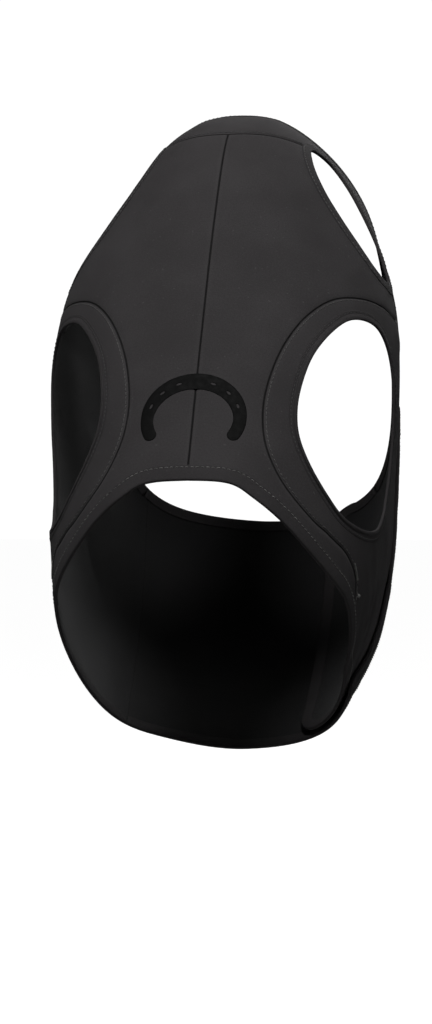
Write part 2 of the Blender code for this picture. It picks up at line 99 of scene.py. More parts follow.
NOSE_EDGE = (
    (286, 0), (287, 25), (294, 40), (302, 58), (310, 78), (315, 100), (317, 125), (322, 145),
    (328, 170), (331, 205), (332, 250), (332, 330),
)
REAR_EDGE = (
    (-46, 0), (-46, 30), (-44, 60), (-38, 90), (-28, 120), (-14, 150), (4, 180), (26, 210),
    (50, 240), (72, 270), (90, 300), (104, 340), (110, 380), (111, 430),
)
SIDE_SEAM = (
    (93, 150), (104, 150), (112, 140), (118, 124), (127, 102), (140, 80), (158, 64), (180, 52), (204, 44),
    (230, 40), (254, 42), (272, 50), (284, 62), (292, 80), (294, 100), (295, 118), (302, 134),
)
SIDE_SEAM_NOSE = 143.0
CROWN_SEAM = ((9, 0), (7, 20), (1, 42))
TEMPLE_SEAM_REAR = 188.0
EAR_CORNERS = ((-11, 70), (84, 136), (64, 139))

HINGE_REAR = 88.0
HINGE_FRONT = 66.0
FLAP_END_REAR = -146.0
FLAP_END_FRONT = -118.0
MARGIN = -50.0
CORNER = 18.0
TAPE_WIDTH = 36.0
TAPE_END_FRONT = 22.0
TAPE_END_REAR = 52.0
TAPE_MIDDLE = 28.0
PRINT_DOWN = 244.0
SHOE_REACH = (25.0, 27.0)
NAILS = (-160, -135, -110, -70, -45, -20)
NAIL_SLOT = (1.7, 0.75)

# Heights over the head.
FABRIC = 1.0
HEM_CLOTH = 0.42
EYE_HEM_CLOTH = 0.14
LOOP_BASE = (1.05, 1.75)
HOOK_BASE = (3.2, 4.0)
FLAP_STANDS = 4.6
LIFT_START = 48.0
LIFT_RUN = 60.0
FLAP_END_DOWN = (60.0, 331.0)
FLAP_TURN = 9.5
EDGE_DROP = 2.2
PRINT_TOP = 1.16

# How finely the cloth is meshed.
EDGE_STEP = 2.2
GRID_STEP = 3.6
EDGE_ROWS = (0.6, 1.4, 2.8, 5.0)
SEAM_GAP = 0.02
HINGE_LAP = 0.3

# How the cloth rolls under at its edges, and puckers beside them.
ROLL_WIDTH = 1.25
ROLL_SHARPNESS = 1.3
ROLL_THINS = 0.8
PUCKER = 0.10
PUCKER_REACH = 3.5

# How the flap's cloth bends: from just past the hinge to where it has turned all the way.
BEND_FROM = 1.0
BEND_TO = 42.0

# Rows of stitches: how far a seam's row lies beside it, how far a hem's row lies from the hem's inner
# edge, and the stitches of each kind.
SEAM_ROW = 1.9
HEM_ROW = 1.3
TAPE_ROW = 1.8
SEAM_STITCH = {"across": SEAM_ROW, "pitch": 3.1, "length": 2.1, "thick": 0.36}
HEM_STITCH = {"pitch": 3.0, "length": 2.1, "thick": 0.42}

# Where each bar tack starts and stops, at the foot of the side seam.
BAR_TACKS = (((294, 125), (299, 134)), ((305, 140), (303, 144.5)))

# How far a hem sits over the cloth, and how deep its stitches pull it in.
HEM_SITS = 0.04
HEM_DIP = 0.52
THREAD_SITS = 0.12

# Width of each hem's leg.
NOSE_LEG = 9.0
REAR_LEG = 8.0
EAR_LEG = 7.0
EYE_LEG = 5.0
FLAP_LEG = 7.5

# Soft folds: where each starts and stops, how wide it is and how far it stands off. A fold with
# both sides set is repeated on the right of the head.
FOLDS = (
    ((96, 100), (124, 84), 5.0, 0.5, True),
    ((86, 132), (116, 120), 4.0, 0.45, True),
    ((40, 62), (64, 46), 6.0, 0.35, True),
    ((264, 199), (298, 200), 3.4, 1.5, False),
    ((274, 189), (300, 186), 2.8, 1.0, False),
    ((304, 166), (338, 184), 7.0, -1.1, False),
    ((306, 206), (322, 198), 7.0, -0.9, False),
    ((284, 150), (302, 210), 5.0, 0.5, False),
    ((262, 152), (276, 186), 6.0, 0.5, True),
    ((236, 172), (226, 216), 7.0, 0.6, True),
    ((120, 150), (96, 190), 6.0, 0.5, True),
    ((60, 142), (44, 182), 5.0, -0.5, True),
    ((284, 84), (306, 96), 3.5, 0.35, True),
    ((288, 102), (312, 120), 3.5, 0.3, True),
    ((-8, 20), (-40, 26), 6.0, 0.6, True),
    ((-12, 2), (-38, 4), 5.0, -0.5, False),
    ((180, 230), (214, 282), 9.0, 0.9, True),
    ((130, 240), (150, 300), 9.0, -0.8, True),
    ((24, 178), (60, 214), 7.0, 0.7, True),
)


def bspline(rows, t):
    """Uniform cubic B-spline over rows of points, at each parameter in t."""
    i = np.clip(np.floor(t).astype(int), 1, len(rows) - 3)
    u = (t - i)[..., None]
    before = (1 - u) ** 3 / 6
    here = (3 * u**3 - 6 * u**2 + 4) / 6
    after = (-3 * u**3 + 3 * u**2 + 3 * u + 1) / 6
    return before * rows[i - 1] + here * rows[i] + after * rows[i + 1] + u**3 / 6 * rows[i + 2]


def head_table(downs=281, rounds=301):
    """The head as an even grid of local points, with the half girth at each distance down."""
    net = np.array([[(x, down, depth) for x, depth in ring] for down, ring in HEAD], float)
    mirror = np.array((-1.0, 1.0, 1.0))
    net = np.concatenate([net[:, 1:2] * mirror, net, net[:, -2:-1] * mirror], axis=1)
    across = np.stack([bspline(ring, np.linspace(1, net.shape[1] - 2, rounds)) for ring in net])
    fine = 801
    along = np.linspace(1, len(HEAD) - 2, fine)
    dense = np.stack([bspline(across[:, j], along) for j in range(rounds)], axis=1)
    down = np.linspace(dense[0, 0, 1], dense[-1, 0, 1], downs)
    place = np.interp(down, dense[:, 0, 1], np.arange(fine))
    low = np.clip(np.floor(place).astype(int), 0, fine - 2)
    part = (place - low)[:, None, None]
    rows = dense[low] * (1 - part) + dense[low + 1] * part
    steps = np.linalg.norm(np.diff(rows, axis=1), axis=2)
    length = np.concatenate([np.zeros((downs, 1)), np.cumsum(steps, axis=1)], axis=1)
    share = np.linspace(0, 1, rounds)
    for row, run in zip(rows, length):
        row[:] = np.stack([np.interp(share * run[-1], run, row[:, c].copy()) for c in range(3)], axis=1)
    return down, length[:, -1], rows


DOWN, HALF_GIRTH, HEAD_POINTS = head_table()


def half_girth(down):
    return np.interp(down, DOWN, HALF_GIRTH)


def surface(places):
    """World points, in millimetres, of (down, round) places. Round may run past the jaw's middle."""
    down, around = np.asarray(places, float).T
    half = half_girth(down)
    around = (around + half) % (2 * half) - half
    i = np.clip((down - DOWN[0]) / (DOWN[1] - DOWN[0]), 0, len(DOWN) - 1.001)
    j = np.clip(np.abs(around) / half * (HEAD_POINTS.shape[1] - 1), 0, HEAD_POINTS.shape[1] - 1.001)
    i0, j0 = i.astype(int), j.astype(int)
    fi, fj = (i - i0)[:, None], (j - j0)[:, None]
    near = HEAD_POINTS[i0, j0] * (1 - fi) + HEAD_POINTS[i0 + 1, j0] * fi
    far = HEAD_POINTS[i0, j0 + 1] * (1 - fi) + HEAD_POINTS[i0 + 1, j0 + 1] * fi
    x, down, depth = (near * (1 - fj) + far * fj).T
    x = x * np.where(around < 0, -1.0, 1.0)
    y = POLL[1] - down * math.sin(FACE_TILT) + depth * math.cos(FACE_TILT)
    z = POLL[2] - down * math.cos(FACE_TILT) - depth * math.sin(FACE_TILT)
    return np.stack([x + POLL[0], y, z], axis=1)


def unit(vectors):
    return vectors / np.maximum(np.linalg.norm(vectors, axis=-1, keepdims=True), 1e-9)


def outward(places, reach=3.0):
    places = np.asarray(places, float)
    down_step, round_step = np.array((reach, 0.0)), np.array((0.0, reach))
    along = surface(places + down_step) - surface(places - down_step)
    across = surface(places + round_step) - surface(places - round_step)
    return unit(np.cross(along, across))


def fold_height(down, around, start, stop, width, height):
    """One soft fold: a rounded ridge, or a hollow if height is under 0, that fades at both ends."""
    run_down, run_round = stop[0] - start[0], stop[1] - start[1]
    length = math.hypot(run_down, run_round)
    along = ((down - start[0]) * run_down + (around - start[1]) * run_round) / length
    off = ((down - start[0]) * run_round - (around - start[1]) * run_down) / length
    past = np.maximum(np.maximum(-along, along - length), 0)
    middle = 0.6 + 0.4 * np.sin(np.pi * np.clip(along / length, 0, 1))
    return height * middle * np.exp(-(off**2 + past**2) / width**2)


def relief(places):
    """How far the cloth stands off the plain form: slow waves all over, and the soft folds."""
    down, around = np.asarray(places, float).T
    half = half_girth(down)
    around = (around + half) % (2 * half) - half
    turn = around / half * np.pi
    rise = 0.22 * np.sin(down / 23 + 1.7 * np.cos(2 * turn)) * np.sin(5 * turn + down / 41)
    rise += 0.12 * np.sin(down / 9.0 + 3 * np.sin(turn) + 1.0) * np.cos(9 * turn - down / 19)
    for start, stop, width, height, both in FOLDS:
        rise += fold_height(down, around, start, stop, width, height)
        if both:
            rise += fold_height(down, -around, start, stop, width, height)
    return rise


def skin(places, height):
    """Points in metres at a height over the head, on top of the soft folds."""
    return (surface(places) + outward(places) * (relief(places) + height)[:, None]) * MM


def smooth(points, step=EDGE_STEP, closed=False):
    """A Catmull-Rom curve through the points, cut into even steps."""
    points = np.array(points, float)
    if closed:
        padded = np.vstack([points[-1:], points, points[:2]])
    else:
        padded = np.vstack([2 * points[0] - points[1], points, 2 * points[-1] - points[-2]])
    fine = []
    for a, b, c, d in zip(padded, padded[1:], padded[2:], padded[3:]):
        for u in np.linspace(0, 1, 24, endpoint=False):
            bend = (2 * a - 5 * b + 4 * c - d) * u**2 + (-a + 3 * b - 3 * c + d) * u**3
            fine.append(0.5 * (2 * b + (c - a) * u + bend))
    fine.append(fine[0] if closed else points[-1])
    return even(np.array(fine), step, closed)


def line_length(line):
    return np.concatenate([[0], np.cumsum(np.linalg.norm(np.diff(line, axis=0), axis=1))])


def trimmed(line, start, stop, step=EDGE_STEP):
    """A line without its first and last few millimetres, cut into even steps."""
    run = line_length(line)
    at = np.linspace(start, run[-1] - stop, max(2, round((run[-1] - start - stop) / step)) + 1)
    return np.stack([np.interp(at, run, line[:, 0]), np.interp(at, run, line[:, 1])], axis=1)


def even(line, step, closed=False):
    cut = trimmed(line, 0, 0, step)
    return cut[:-1] if closed else cut


def sideways(line, closed=False):
    """Unit vectors across a line of places, to its left as down runs right and round runs up."""
    if closed:
        along = np.roll(line, -1, axis=0) - np.roll(line, 1, axis=0)
    else:
        along = np.gradient(line, axis=0)
    along = unit(along)
    return np.stack([-along[:, 1], along[:, 0]], axis=1)


def signed_area(loop):
    following = np.roll(loop, -1, axis=0)
    return 0.5 * np.sum(loop[:, 0] * following[:, 1] - following[:, 0] * loop[:, 1])


def inset(loop, distance):
    """The closed loop moved towards its inside."""
    if signed_area(loop) < 0:
        loop = loop[::-1]
    before = unit(loop - np.roll(loop, 1, axis=0))
    after = unit(np.roll(loop, -1, axis=0) - loop)
    first = np.stack([-before[:, 1], before[:, 0]], axis=1)
    second = np.stack([-after[:, 1], after[:, 0]], axis=1)
    both = first + second
    both /= np.maximum(np.sum(both * first, axis=1, keepdims=True), 0.4)
    return loop + both * distance


def inside(points, loop):
    x, y = points[:, :1], points[:, 1:]
    x0, y0 = loop.T
    x1, y1 = np.roll(loop, -1, axis=0).T
    crosses = (y0 > y) != (y1 > y)
    reach = (x1 - x0) * (y - y0) / np.where(y1 == y0, 1e-9, y1 - y0) + x0
    return (crosses & (x < reach)).sum(axis=1) % 2 == 1


def edge_distance(points, loop):
    """How far each point is from a closed loop, and how far along the loop its nearest place is."""
    start, stop = loop, np.roll(loop, -1, axis=0)
    run = stop - start
    length = np.linalg.norm(run, axis=1)
    before = np.concatenate([[0], np.cumsum(length)[:-1]])
    gaps, runs = [], []
    for part in np.array_split(points, max(1, len(points) // 1500)):
        offset = part[:, None] - start
        share = np.clip((offset * run).sum(axis=2) / np.maximum(length**2, 1e-12), 0, 1)
        gap = np.linalg.norm(offset - share[..., None] * run, axis=2)
        best = gap.argmin(axis=1)
        rows = np.arange(len(part))
        gaps.append(gap[rows, best])
        runs.append(before[best] + share[rows, best] * length[best])
    return np.concatenate(gaps), np.concatenate(runs)


def hex_grid(low, high, step):
    rise = step * math.sqrt(0.75)
    return np.array([
        (low[0] + step * (i + 0.5 * (j % 2)), low[1] + rise * j)
        for j in range(int((high[1] - low[1]) / rise) + 1)
        for i in range(int((high[0] - low[0]) / step) + 1)
    ])


def filled(outline, holes, step, rows):
    """Places and triangles that fill an outline round its holes, with rows of places along every edge."""
    loops = [outline] + holes

    def kept(points, clear):
        good = inside(points, outline)
        for hole in holes:
            good &= ~inside(points, hole)
        for loop in loops:
            good &= edge_distance(points, loop)[0] > clear
        return points[good]

    groups = list(loops)
    for row in rows:
        ring = np.concatenate([inset(outline, row)] + [inset(hole, -row) for hole in holes])
        groups.append(kept(ring, row * 0.85))
    last = rows[-1] if rows else 0.0
    groups.append(kept(hex_grid(outline.min(axis=0), outline.max(axis=0), step), last + 0.6 * step))
    edges = []
    start = 0
    for loop in loops:
        edges += [(start + i, start + (i + 1) % len(loop)) for i in range(len(loop))]
        start += len(loop)
    points = np.concatenate([group for group in groups if len(group)])
    places, _, faces, *_ = delaunay_2d_cdt([Vector(p) for p in points], edges, [], 0, 1e-5)
    places = np.array([tuple(p) for p in places])
    faces = np.array([tuple(f) for f in faces])
    middle = places[faces].mean(axis=1)
    good = inside(middle, outline)
    for hole in holes:
        good &= ~inside(middle, hole)
    return places, faces[good]


def closed_faces(faces, count):
    """Both sides of a sheet of triangles and the wall round every edge, with 1 for each inner face."""
    ends = np.concatenate([faces[:, [0, 1]], faces[:, [1, 2]], faces[:, [2, 0]]])
    _, first, uses = np.unique(np.sort(ends, axis=1), axis=0, return_index=True, return_counts=True)
    rim = ends[first[uses == 1]]
    walls = [(a, b, b + count, a + count) for a, b in rim]
    both = [tuple(f[::-1]) for f in faces] + [tuple(f + count) for f in faces] + walls
    return both, [1] * len(faces) + [0] * (len(faces) + len(walls))


def make_piece(name, points, faces, materials, slots=None, flat=None, edge=None):
    """A mesh object from points in metres.

    flat holds each point's place on the flat cloth, for its UV map.
    """
    mesh = bpy.data.meshes.new(name)
    mesh.from_pydata(np.asarray(points).tolist(), [], [tuple(map(int, f)) for f in faces])
    if flat is not None:
        corners = np.empty(len(mesh.loops), np.int32)
        mesh.loops.foreach_get("vertex_index", corners)
        layer = mesh.uv_layers.new(name="flat_cloth")
        layer.data.foreach_set("uv", (np.asarray(flat)[corners] / 100).astype(np.float32).ravel())
    if edge is not None:
        mesh.attributes.new("edge_gap", "FLOAT", "POINT").data.foreach_set("value", edge.astype(np.float32))
    for made in materials:
        mesh.materials.append(made)
    if slots is not None:
        mesh.polygons.foreach_set("material_index", slots)
    shape = bmesh.new()
    shape.from_mesh(mesh)
    bmesh.ops.delete(shape, geom=[v for v in shape.verts if not v.link_faces], context="VERTS")
    bmesh.ops.recalc_face_normals(shape, faces=shape.faces)
    if shape.calc_volume(signed=True) < 0:
        bmesh.ops.reverse_faces(shape, faces=shape.faces)
    for face in shape.faces:
        face.smooth = True
    shape.to_mesh(mesh)
    shape.free()
    obj = bpy.data.objects.new(name, mesh)
    bpy.context.scene.collection.objects.link(obj)
    return obj


def place_on_jaw(places):
    """Places given from the jaw's middle, with round positive towards the horse's right."""
    places = np.array(places, float)
    places[:, 1] += half_girth(places[:, 0])
    return places


def same(places):
    return places


def no_lift(places):
    return np.zeros(len(places))


def flap_lift(places):
    """How far the flap stands off the head: none at the hinge, and clear of both tapes at its end."""
    share = np.clip((LIFT_START - places[:, 1]) / LIFT_RUN, 0, 1)
    free_edge = np.interp(places[:, 0], FLAP_END_DOWN, (FLAP_END_REAR, FLAP_END_FRONT))
    past_tape = np.clip(1 - (places[:, 1] - free_edge) / FLAP_TURN, 0, 1)
    return FLAP_STANDS * share**2 * (3 - 2 * share) - EDGE_DROP * past_tape**2 * (3 - 2 * past_tape)


def laid_flat(places):
    """Both faces of a sheet, laid flat."""
    flat = np.stack([places[:, 1], -places[:, 0]], axis=1)
    return np.vstack([flat, flat])


def cloth_panel(name, materials, outline, holes=(), to_mask=same, lift=no_lift, side=1):
    """A sheet of cloth cut to an outline. Its edges roll under where a seam or a hem holds them."""
    outline = inset(np.array(outline, float), SEAM_GAP / 2)
    holes = [inset(np.array(hole, float), -SEAM_GAP / 2) for hole in holes]
    places, faces = filled(outline, holes, GRID_STEP, EDGE_ROWS)
    gaps, runs = zip(*(edge_distance(places, loop) for loop in [outline] + holes))
    nearest = np.argmin(gaps, axis=0)
    gap, run = (np.choose(nearest, values) for values in (gaps, runs))
    rolled = np.exp(-((gap / ROLL_WIDTH) ** ROLL_SHARPNESS))
    pucker = PUCKER * np.sin(run * 1.13 + 0.7 * np.sin(run * 0.21)) * np.exp(-gap / PUCKER_REACH)
    on_mask = to_mask(places) * (1, side)
    rise = lift(places) + pucker * (1 - rolled)
    low = skin(on_mask, rise + 0.1 * rolled)
    high = skin(on_mask, rise + FABRIC * (1 - ROLL_THINS * rolled))
    both, slots = closed_faces(faces, len(places))
    return make_piece(name, np.vstack([low, high]), both, materials, slots,
                      laid_flat(places), np.concatenate([gap, gap]))


def waves(run, closed, pitch, start=0.0):
    """A slightly uneven wave along a line, which meets itself if the line is closed."""
    total = run[-1] if not closed else run[-1] + (run[1] - run[0])
    turn = 2 * np.pi * run / total
    count = max(1, round(total / pitch))
    return np.sin(count * turn + start + 0.8 * np.sin(round(count / 6.3) * turn)) * (
        1 + 0.35 * np.sin(round(count / 3.7) * turn + 2.0))


def sweep(name, material, line, profile, closed=False, to_mask=same, lift=no_lift, side=1, ripple=None):
    """A profile of (across, height) points carried along a line of places, over the soft folds.

    ripple gives how far each point of the profile rises and falls along the line, and the pitch.
    """
    line = np.array(line, float)
    across = sideways(line, closed)
    run = line_length(line)
    rings = []
    flats = []
    girth = line_length(np.array(profile, float))
    for k, (over, height) in enumerate(profile):
        places = line + across * over
        rise = lift(places) + height
        if ripple is not None:
            rise = rise + ripple[0][k] * waves(run, closed, ripple[1])
        rings.append(skin(to_mask(places) * (1, side), rise))
        flats.append(np.stack([np.full(len(line), girth[k]), run], axis=1))
    points, flat = np.stack(rings, axis=1), np.stack(flats, axis=1)
    count, ring = points.shape[:2]
    faces = []
    for i in range(count if closed else count - 1):
        here, following = i * ring, (i + 1) % count * ring
        for j in range(ring):
            k = (j + 1) % ring
            faces.append((here + j, following + j, following + k, here + k))
    if not closed:
        faces += [tuple(range(ring)), tuple(range((count - 1) * ring, count * ring))[::-1]]
    return make_piece(name, points.reshape(-1, 3), faces, [material], flat=flat.reshape(-1, 2))


def hem_profile(leg, thick):
    """A hem folded over an edge at 0, cloth on the minus side, with a dip where the stitches pull it in."""
    top = FABRIC + HEM_SITS
    return (
        (-leg, top), (-leg - 0.12, top + 0.3 * thick), (-leg + 0.15, top + 0.72 * thick),
        (-leg + 0.7, top + 0.8 * thick), (-leg + HEM_ROW, top + HEM_DIP * thick),
        (-leg + 2.0, top + 0.82 * thick), (-leg + 3.2, top + thick),
        (-0.4 * leg, top + 1.04 * thick), (-0.6, top + thick),
        (0.3, top + 0.8 * thick), (0.7, top + 0.25 * thick), (0.85, 0.5), (0.7, -0.35), (0.3, -0.62),
        (-0.6, -0.7), (-0.5 * leg, -0.7), (-leg + 2.0, -0.62), (-leg + 1.0, -0.4), (-leg + 0.1, -0.62),
        (-leg, -0.3), (-leg + 0.3, -0.05), (-0.5 * leg, -0.05), (0.15, 0.0), (0.3, 0.5), (0.15, top),
        (-0.5 * leg, top),
    )


def hem_ripple(leg, thick):
    """The hem ripples most at its stitched lip, and little at the fold."""
    sizes = []
    for across, height in hem_profile(leg, thick):
        near = math.exp(-(across + leg - 0.6) ** 2 / 6.0)
        outer = 1.0 if height > FABRIC + 0.1 else 0.35
        sizes.append((0.02 + 0.16 * thick * near) * outer if height > FABRIC + 0.1 or height < -0.1 else 0.0)
    return sizes, 3.4


def hem(name, material, line, fabric_left, leg, thick=HEM_CLOTH, **options):
    """A hem. fabric_left tells on which side of the line the cloth lies."""
    line = np.array(line, float)
    line = line[::-1] if fabric_left else line
    return sweep(name, material, line, hem_profile(leg, thick), ripple=hem_ripple(leg, thick), **options)


def tape_profile(width, low, high, parts=6):
    """A woven tape with soft selvedges."""
    across = np.linspace(-width / 2 + 0.5, width / 2 - 0.5, parts + 1)
    middle = (low + high) / 2
    edge = [(width / 2 - 0.12, high - 0.08), (width / 2, middle), (width / 2 - 0.12, low + 0.08)]
    upper = [(a, high) for a in across]
    lower = [(a, low) for a in across[::-1]]
    return tuple(upper + edge + lower + [(-a, h) for a, h in edge[::-1]])


def round_cut(loop, start, stop):
    """The stretch of a closed loop from the place nearest to start on to the one nearest to stop."""
    first = np.linalg.norm(loop - start, axis=1).argmin()
    turned = np.roll(loop, -first, axis=0)
    last = np.linalg.norm(turned - stop, axis=1).argmin()
    return turned[: last + 1]


def at_round(line, around):
    order = np.argsort(line[:, 1])
    return np.array((np.interp(around, line[order, 1], line[order, 0]), around))


NOSE = smooth(NOSE_EDGE, 3.0)
REAR = smooth(REAR_EDGE, 3.0)
EYE = smooth(EYE_HOLE, closed=True)
EAR = smooth(EAR_HOLE, closed=True)


def edge_run(edge, start, stop, step=EDGE_STEP):
    """An edge between two distances round, cut into even steps."""
    around = np.linspace(start, stop, max(2, round(abs(stop - start) / 3)) + 1)
    return even(np.array([at_round(edge, r) for r in around]), step)


def jaw_run(edge, start, stop, step=EDGE_STEP):
    """An edge between two distances from the jaw's middle, in jaw places."""
    line = []
    for around in np.linspace(start, stop, max(2, round(abs(stop - start) / 3)) + 1):
        down = edge[-1, 0]
        for _ in range(8):
            down = at_round(edge, half_girth(down) - abs(around))[0]
        line.append((down, around))
    return even(np.array(line), step)


def hinge_line(offset=0.0):
    """The line of the flap's hinge, as jaw places from front to rear."""
    front = jaw_run(NOSE, HINGE_FRONT, HINGE_FRONT + 1)[0]
    rear = jaw_run(REAR, HINGE_REAR, HINGE_REAR + 1)[0]
    return even(np.array([front, rear]), EDGE_STEP) + (0, offset)


def rounded(first, corner, second):
    """Places that turn from the end of one run to the start of the next round a corner."""
    enter = corner + unit(first - corner) * CORNER
    leave = corner + unit(second - corner) * CORNER
    t = np.linspace(0, 1, 13)[:, None]
    return (1 - t) ** 2 * enter + 2 * t * (1 - t) * corner + t**2 * leave


def with_corners(front, side, rear):
    """Front edge, free side and rear edge joined through two round corners."""
    first = rounded(front[0], front[-1], side[-1])
    last = rounded(side[0], side[-1], rear[-1])
    front = front[np.linalg.norm(front - front[-1], axis=1) > CORNER + 1]
    rear = rear[np.linalg.norm(rear - rear[0], axis=1) > CORNER + 1]
    clear = np.minimum(np.linalg.norm(side - side[0], axis=1), np.linalg.norm(side - side[-1], axis=1))
    return even(np.vstack([front, first, side[clear > CORNER + 1], last, rear]), EDGE_STEP)


def flap_edge():
    """The flap's hemmed edge, in jaw places: front edge, free side and rear edge."""
    front = jaw_run(NOSE, HINGE_FRONT + HINGE_LAP, FLAP_END_FRONT)
    rear = jaw_run(REAR, FLAP_END_REAR, HINGE_REAR + HINGE_LAP)
    return with_corners(front, even(np.array([front[-1], rear[0]]), EDGE_STEP), rear)


def margin_edge():
    """The left panel's hemmed edge under the flap, in jaw places."""
    front = jaw_run(NOSE, MARGIN - 40, MARGIN)
    rear = jaw_run(REAR, MARGIN, MARGIN - 40)
    return with_corners(front, even(np.array([front[-1], rear[0]]), EDGE_STEP), rear)


def closure_line():
    """The middle of both closure tapes, in jaw places, beside the flap's free side."""
    front = jaw_run(NOSE, FLAP_END_FRONT - 1, FLAP_END_FRONT)[-1]
    rear = jaw_run(REAR, FLAP_END_REAR, FLAP_END_REAR + 1)[0]
    return trimmed(np.array([front, rear]) + (0, TAPE_MIDDLE), TAPE_END_FRONT, TAPE_END_REAR)


def seams():
    """The seam lines of the left half, each as (down, round) places."""
    foot = at_round(NOSE, SIDE_SEAM_NOSE)
    inner, lower, back = (EAR[np.linalg.norm(EAR - corner, axis=1).argmin()] for corner in EAR_CORNERS)
    heel = at_round(REAR, TEMPLE_SEAM_REAR)
    return {
        "side": smooth([lower, *SIDE_SEAM, foot]),
        "crown": smooth([*CROWN_SEAM, inner]),
        "temple": smooth([back, (back + heel) / 2 + (8, 2), heel]),
        "ear_front": round_cut(EAR, inner, lower),
        "ear_lower": round_cut(EAR, lower, back),
        "ear_back": round_cut(EAR, back, inner),
        "foot": foot,
    }


SEAM = seams()


def both_halves(line):
    """A line from the middle of the forehead, joined to its mirror image."""
    return np.vstack([line[1:][::-1] * (1, -1), line])


# Materials.

def feed(tree, socket, value):
    """Link another node's output to a socket, or set the socket to a plain value."""
    if isinstance(value, bpy.types.NodeSocket):
        tree.links.new(value, socket)
    elif value is not None:
        socket.default_value = value


class Recipe:
    """A material in the making: its Principled shader, and short ways to add nodes to it."""

    def __init__(self, name, **constants):
        self.made = bpy.data.materials.new(name)
        self.made.use_nodes = True
        self.tree = self.made.node_tree
        self.shader = self.tree.nodes["Principled BSDF"]
        for socket, value in constants.items():
            self.shader.inputs[socket.replace("_", " ")].default_value = value

    def put(self, socket, value):
        feed(self.tree, socket, value)

    def node(self, kind, *values, **settings):
        made = self.tree.nodes.new("ShaderNode" + kind)
        for key, value in settings.items():
            setattr(made, key, value)
        for socket, value in zip(made.inputs, values):
            self.put(socket, value)
        return made

    def math(self, operation, first, second=None, third=None):
        return self.node("Math", first, second, third, operation=operation).outputs[0]

    def cloth_place(self):
        """The place on the flat cloth, with 1 for 100 mm."""
        return self.node("UVMap", uv_map="flat_cloth").outputs[0]

    def solid_place(self):
        return self.node("TexCoord").outputs["Object"]

    def noise(self, place, scale, detail=2.0, roughness=0.5):
        made = self.node("TexNoise")
        for socket, value in (("Vector", place), ("Scale", scale), ("Detail", detail),
                              ("Roughness", roughness)):
            self.put(made.inputs[socket], value)
        return made.outputs[0]

    def spread(self, value, low, high, out_low=0.0, out_high=1.0):
        made = self.node("MapRange", value, low, high, out_low, out_high, interpolation_type="SMOOTHSTEP")
        return made.outputs[0]

    def blend(self, share, first, second):
        made = self.node("Mix", data_type="RGBA")
        for socket, value in ((0, share), (6, first), (7, second)):
            self.put(made.inputs[socket], value)
        return made.outputs[2]

    def edge_gap(self):
        return self.node("Attribute", attribute_name="edge_gap").outputs["Fac"]

    def set(self, socket, value):
        self.put(self.shader.inputs[socket], value)

    def bump(self, height, strength, distance, below=None):
        made = self.node("Bump")
        for socket, value in (("Height", height), ("Strength", strength), ("Distance", distance),
                              ("Normal", below)):
            self.put(made.inputs[socket], value)
        return made.outputs[0]


def shade(red, green=None, blue=None):
    """A colour in linear light from 0 to 255 display values."""
    values = (red, red if green is None else green, red if blue is None else blue)
    return (*[((v / 255 + 0.055) / 1.055) ** 2.4 if v > 10 else v / 255 / 12.92 for v in values], 1.0)


# The colour of the painted shadow in the seam grooves.
SEAM_PAINTED_SHADOW = shade(14)
WALE = 0.7
COURSE = 0.55


def knit_height(recipe, place, wale, course):
    """Jersey knit: rows of small V shapes, wale across and course along, in millimetres."""
    apart = recipe.node("SeparateXYZ", place)
    across = recipe.math("MULTIPLY", apart.outputs[0], 100.0 / wale)
    along = recipe.math("MULTIPLY", apart.outputs[1], 100.0 / course)
    folded = recipe.math("PINGPONG", across, 0.5)
    leg = recipe.math("SINE", recipe.math("MULTIPLY", folded, math.tau))
    slant = recipe.math("ADD", along, recipe.math("MULTIPLY", folded, 1.6))
    loop = recipe.math("ABSOLUTE", recipe.math("SINE", recipe.math("MULTIPLY", slant, math.pi)))
    return recipe.math("MULTIPLY", recipe.math("ABSOLUTE", leg), loop)


def knit_material(name, dark, light, worn, roughness, wale=WALE, course=COURSE, grain=0.35, seamed=True,
                  **constants):
    """Jersey. A seamed one has painted shadow in the seam grooves at its edges, and is a little worn beside
    them.
    """
    recipe = Recipe(name, **constants)
    place = recipe.cloth_place()
    knit = knit_height(recipe, place, wale, course)
    mottle = recipe.noise(place, 85.0, 3.0, 0.62)
    patches = recipe.noise(recipe.solid_place(), 26.0, 3.0, 0.5)
    flecks = recipe.spread(recipe.noise(place, 38.0, 1.0), 0.70, 0.78)
    tone = recipe.math("ADD", recipe.math("MULTIPLY", mottle, 0.6), recipe.math("MULTIPLY", patches, 0.4))
    colour = recipe.blend(recipe.spread(tone, 0.36, 0.66), dark, light)
    # Painted shade: the colour darkens in the valleys between the knit's loops.
    painted_valley_shade = recipe.spread(knit, 0.0, 0.5, 0.55, 0.0)
    colour = recipe.blend(painted_valley_shade, colour, tuple(c * 0.6 for c in dark[:3]) + (1.0,))
    colour = recipe.blend(recipe.math("MULTIPLY", flecks, 0.35), colour, worn)
    if seamed:
        rubbed = recipe.math("MULTIPLY", recipe.spread(recipe.edge_gap(), 1.2, 3.6, 0.16, 0.0), mottle)
        colour = recipe.blend(rubbed, colour, worn)
        # Painted shadow: the colour darkens to near black in the seam grooves, close to the cloth's edges.
        seam = recipe.spread(recipe.edge_gap(), 0.25, 0.95, 0.9, 0.0)
        colour = recipe.blend(seam, colour, SEAM_PAINTED_SHADOW)
    recipe.set("Base Color", colour)
    recipe.set("Roughness", recipe.spread(mottle, 0.3, 0.7, roughness - 0.08, roughness + 0.06))
    slow = recipe.bump(patches, 0.25, 0.0012)
    fine = recipe.bump(mottle, 0.3, 0.0003, slow)
    recipe.set("Normal", recipe.bump(knit, grain, 0.00018, fine))
    return recipe.made


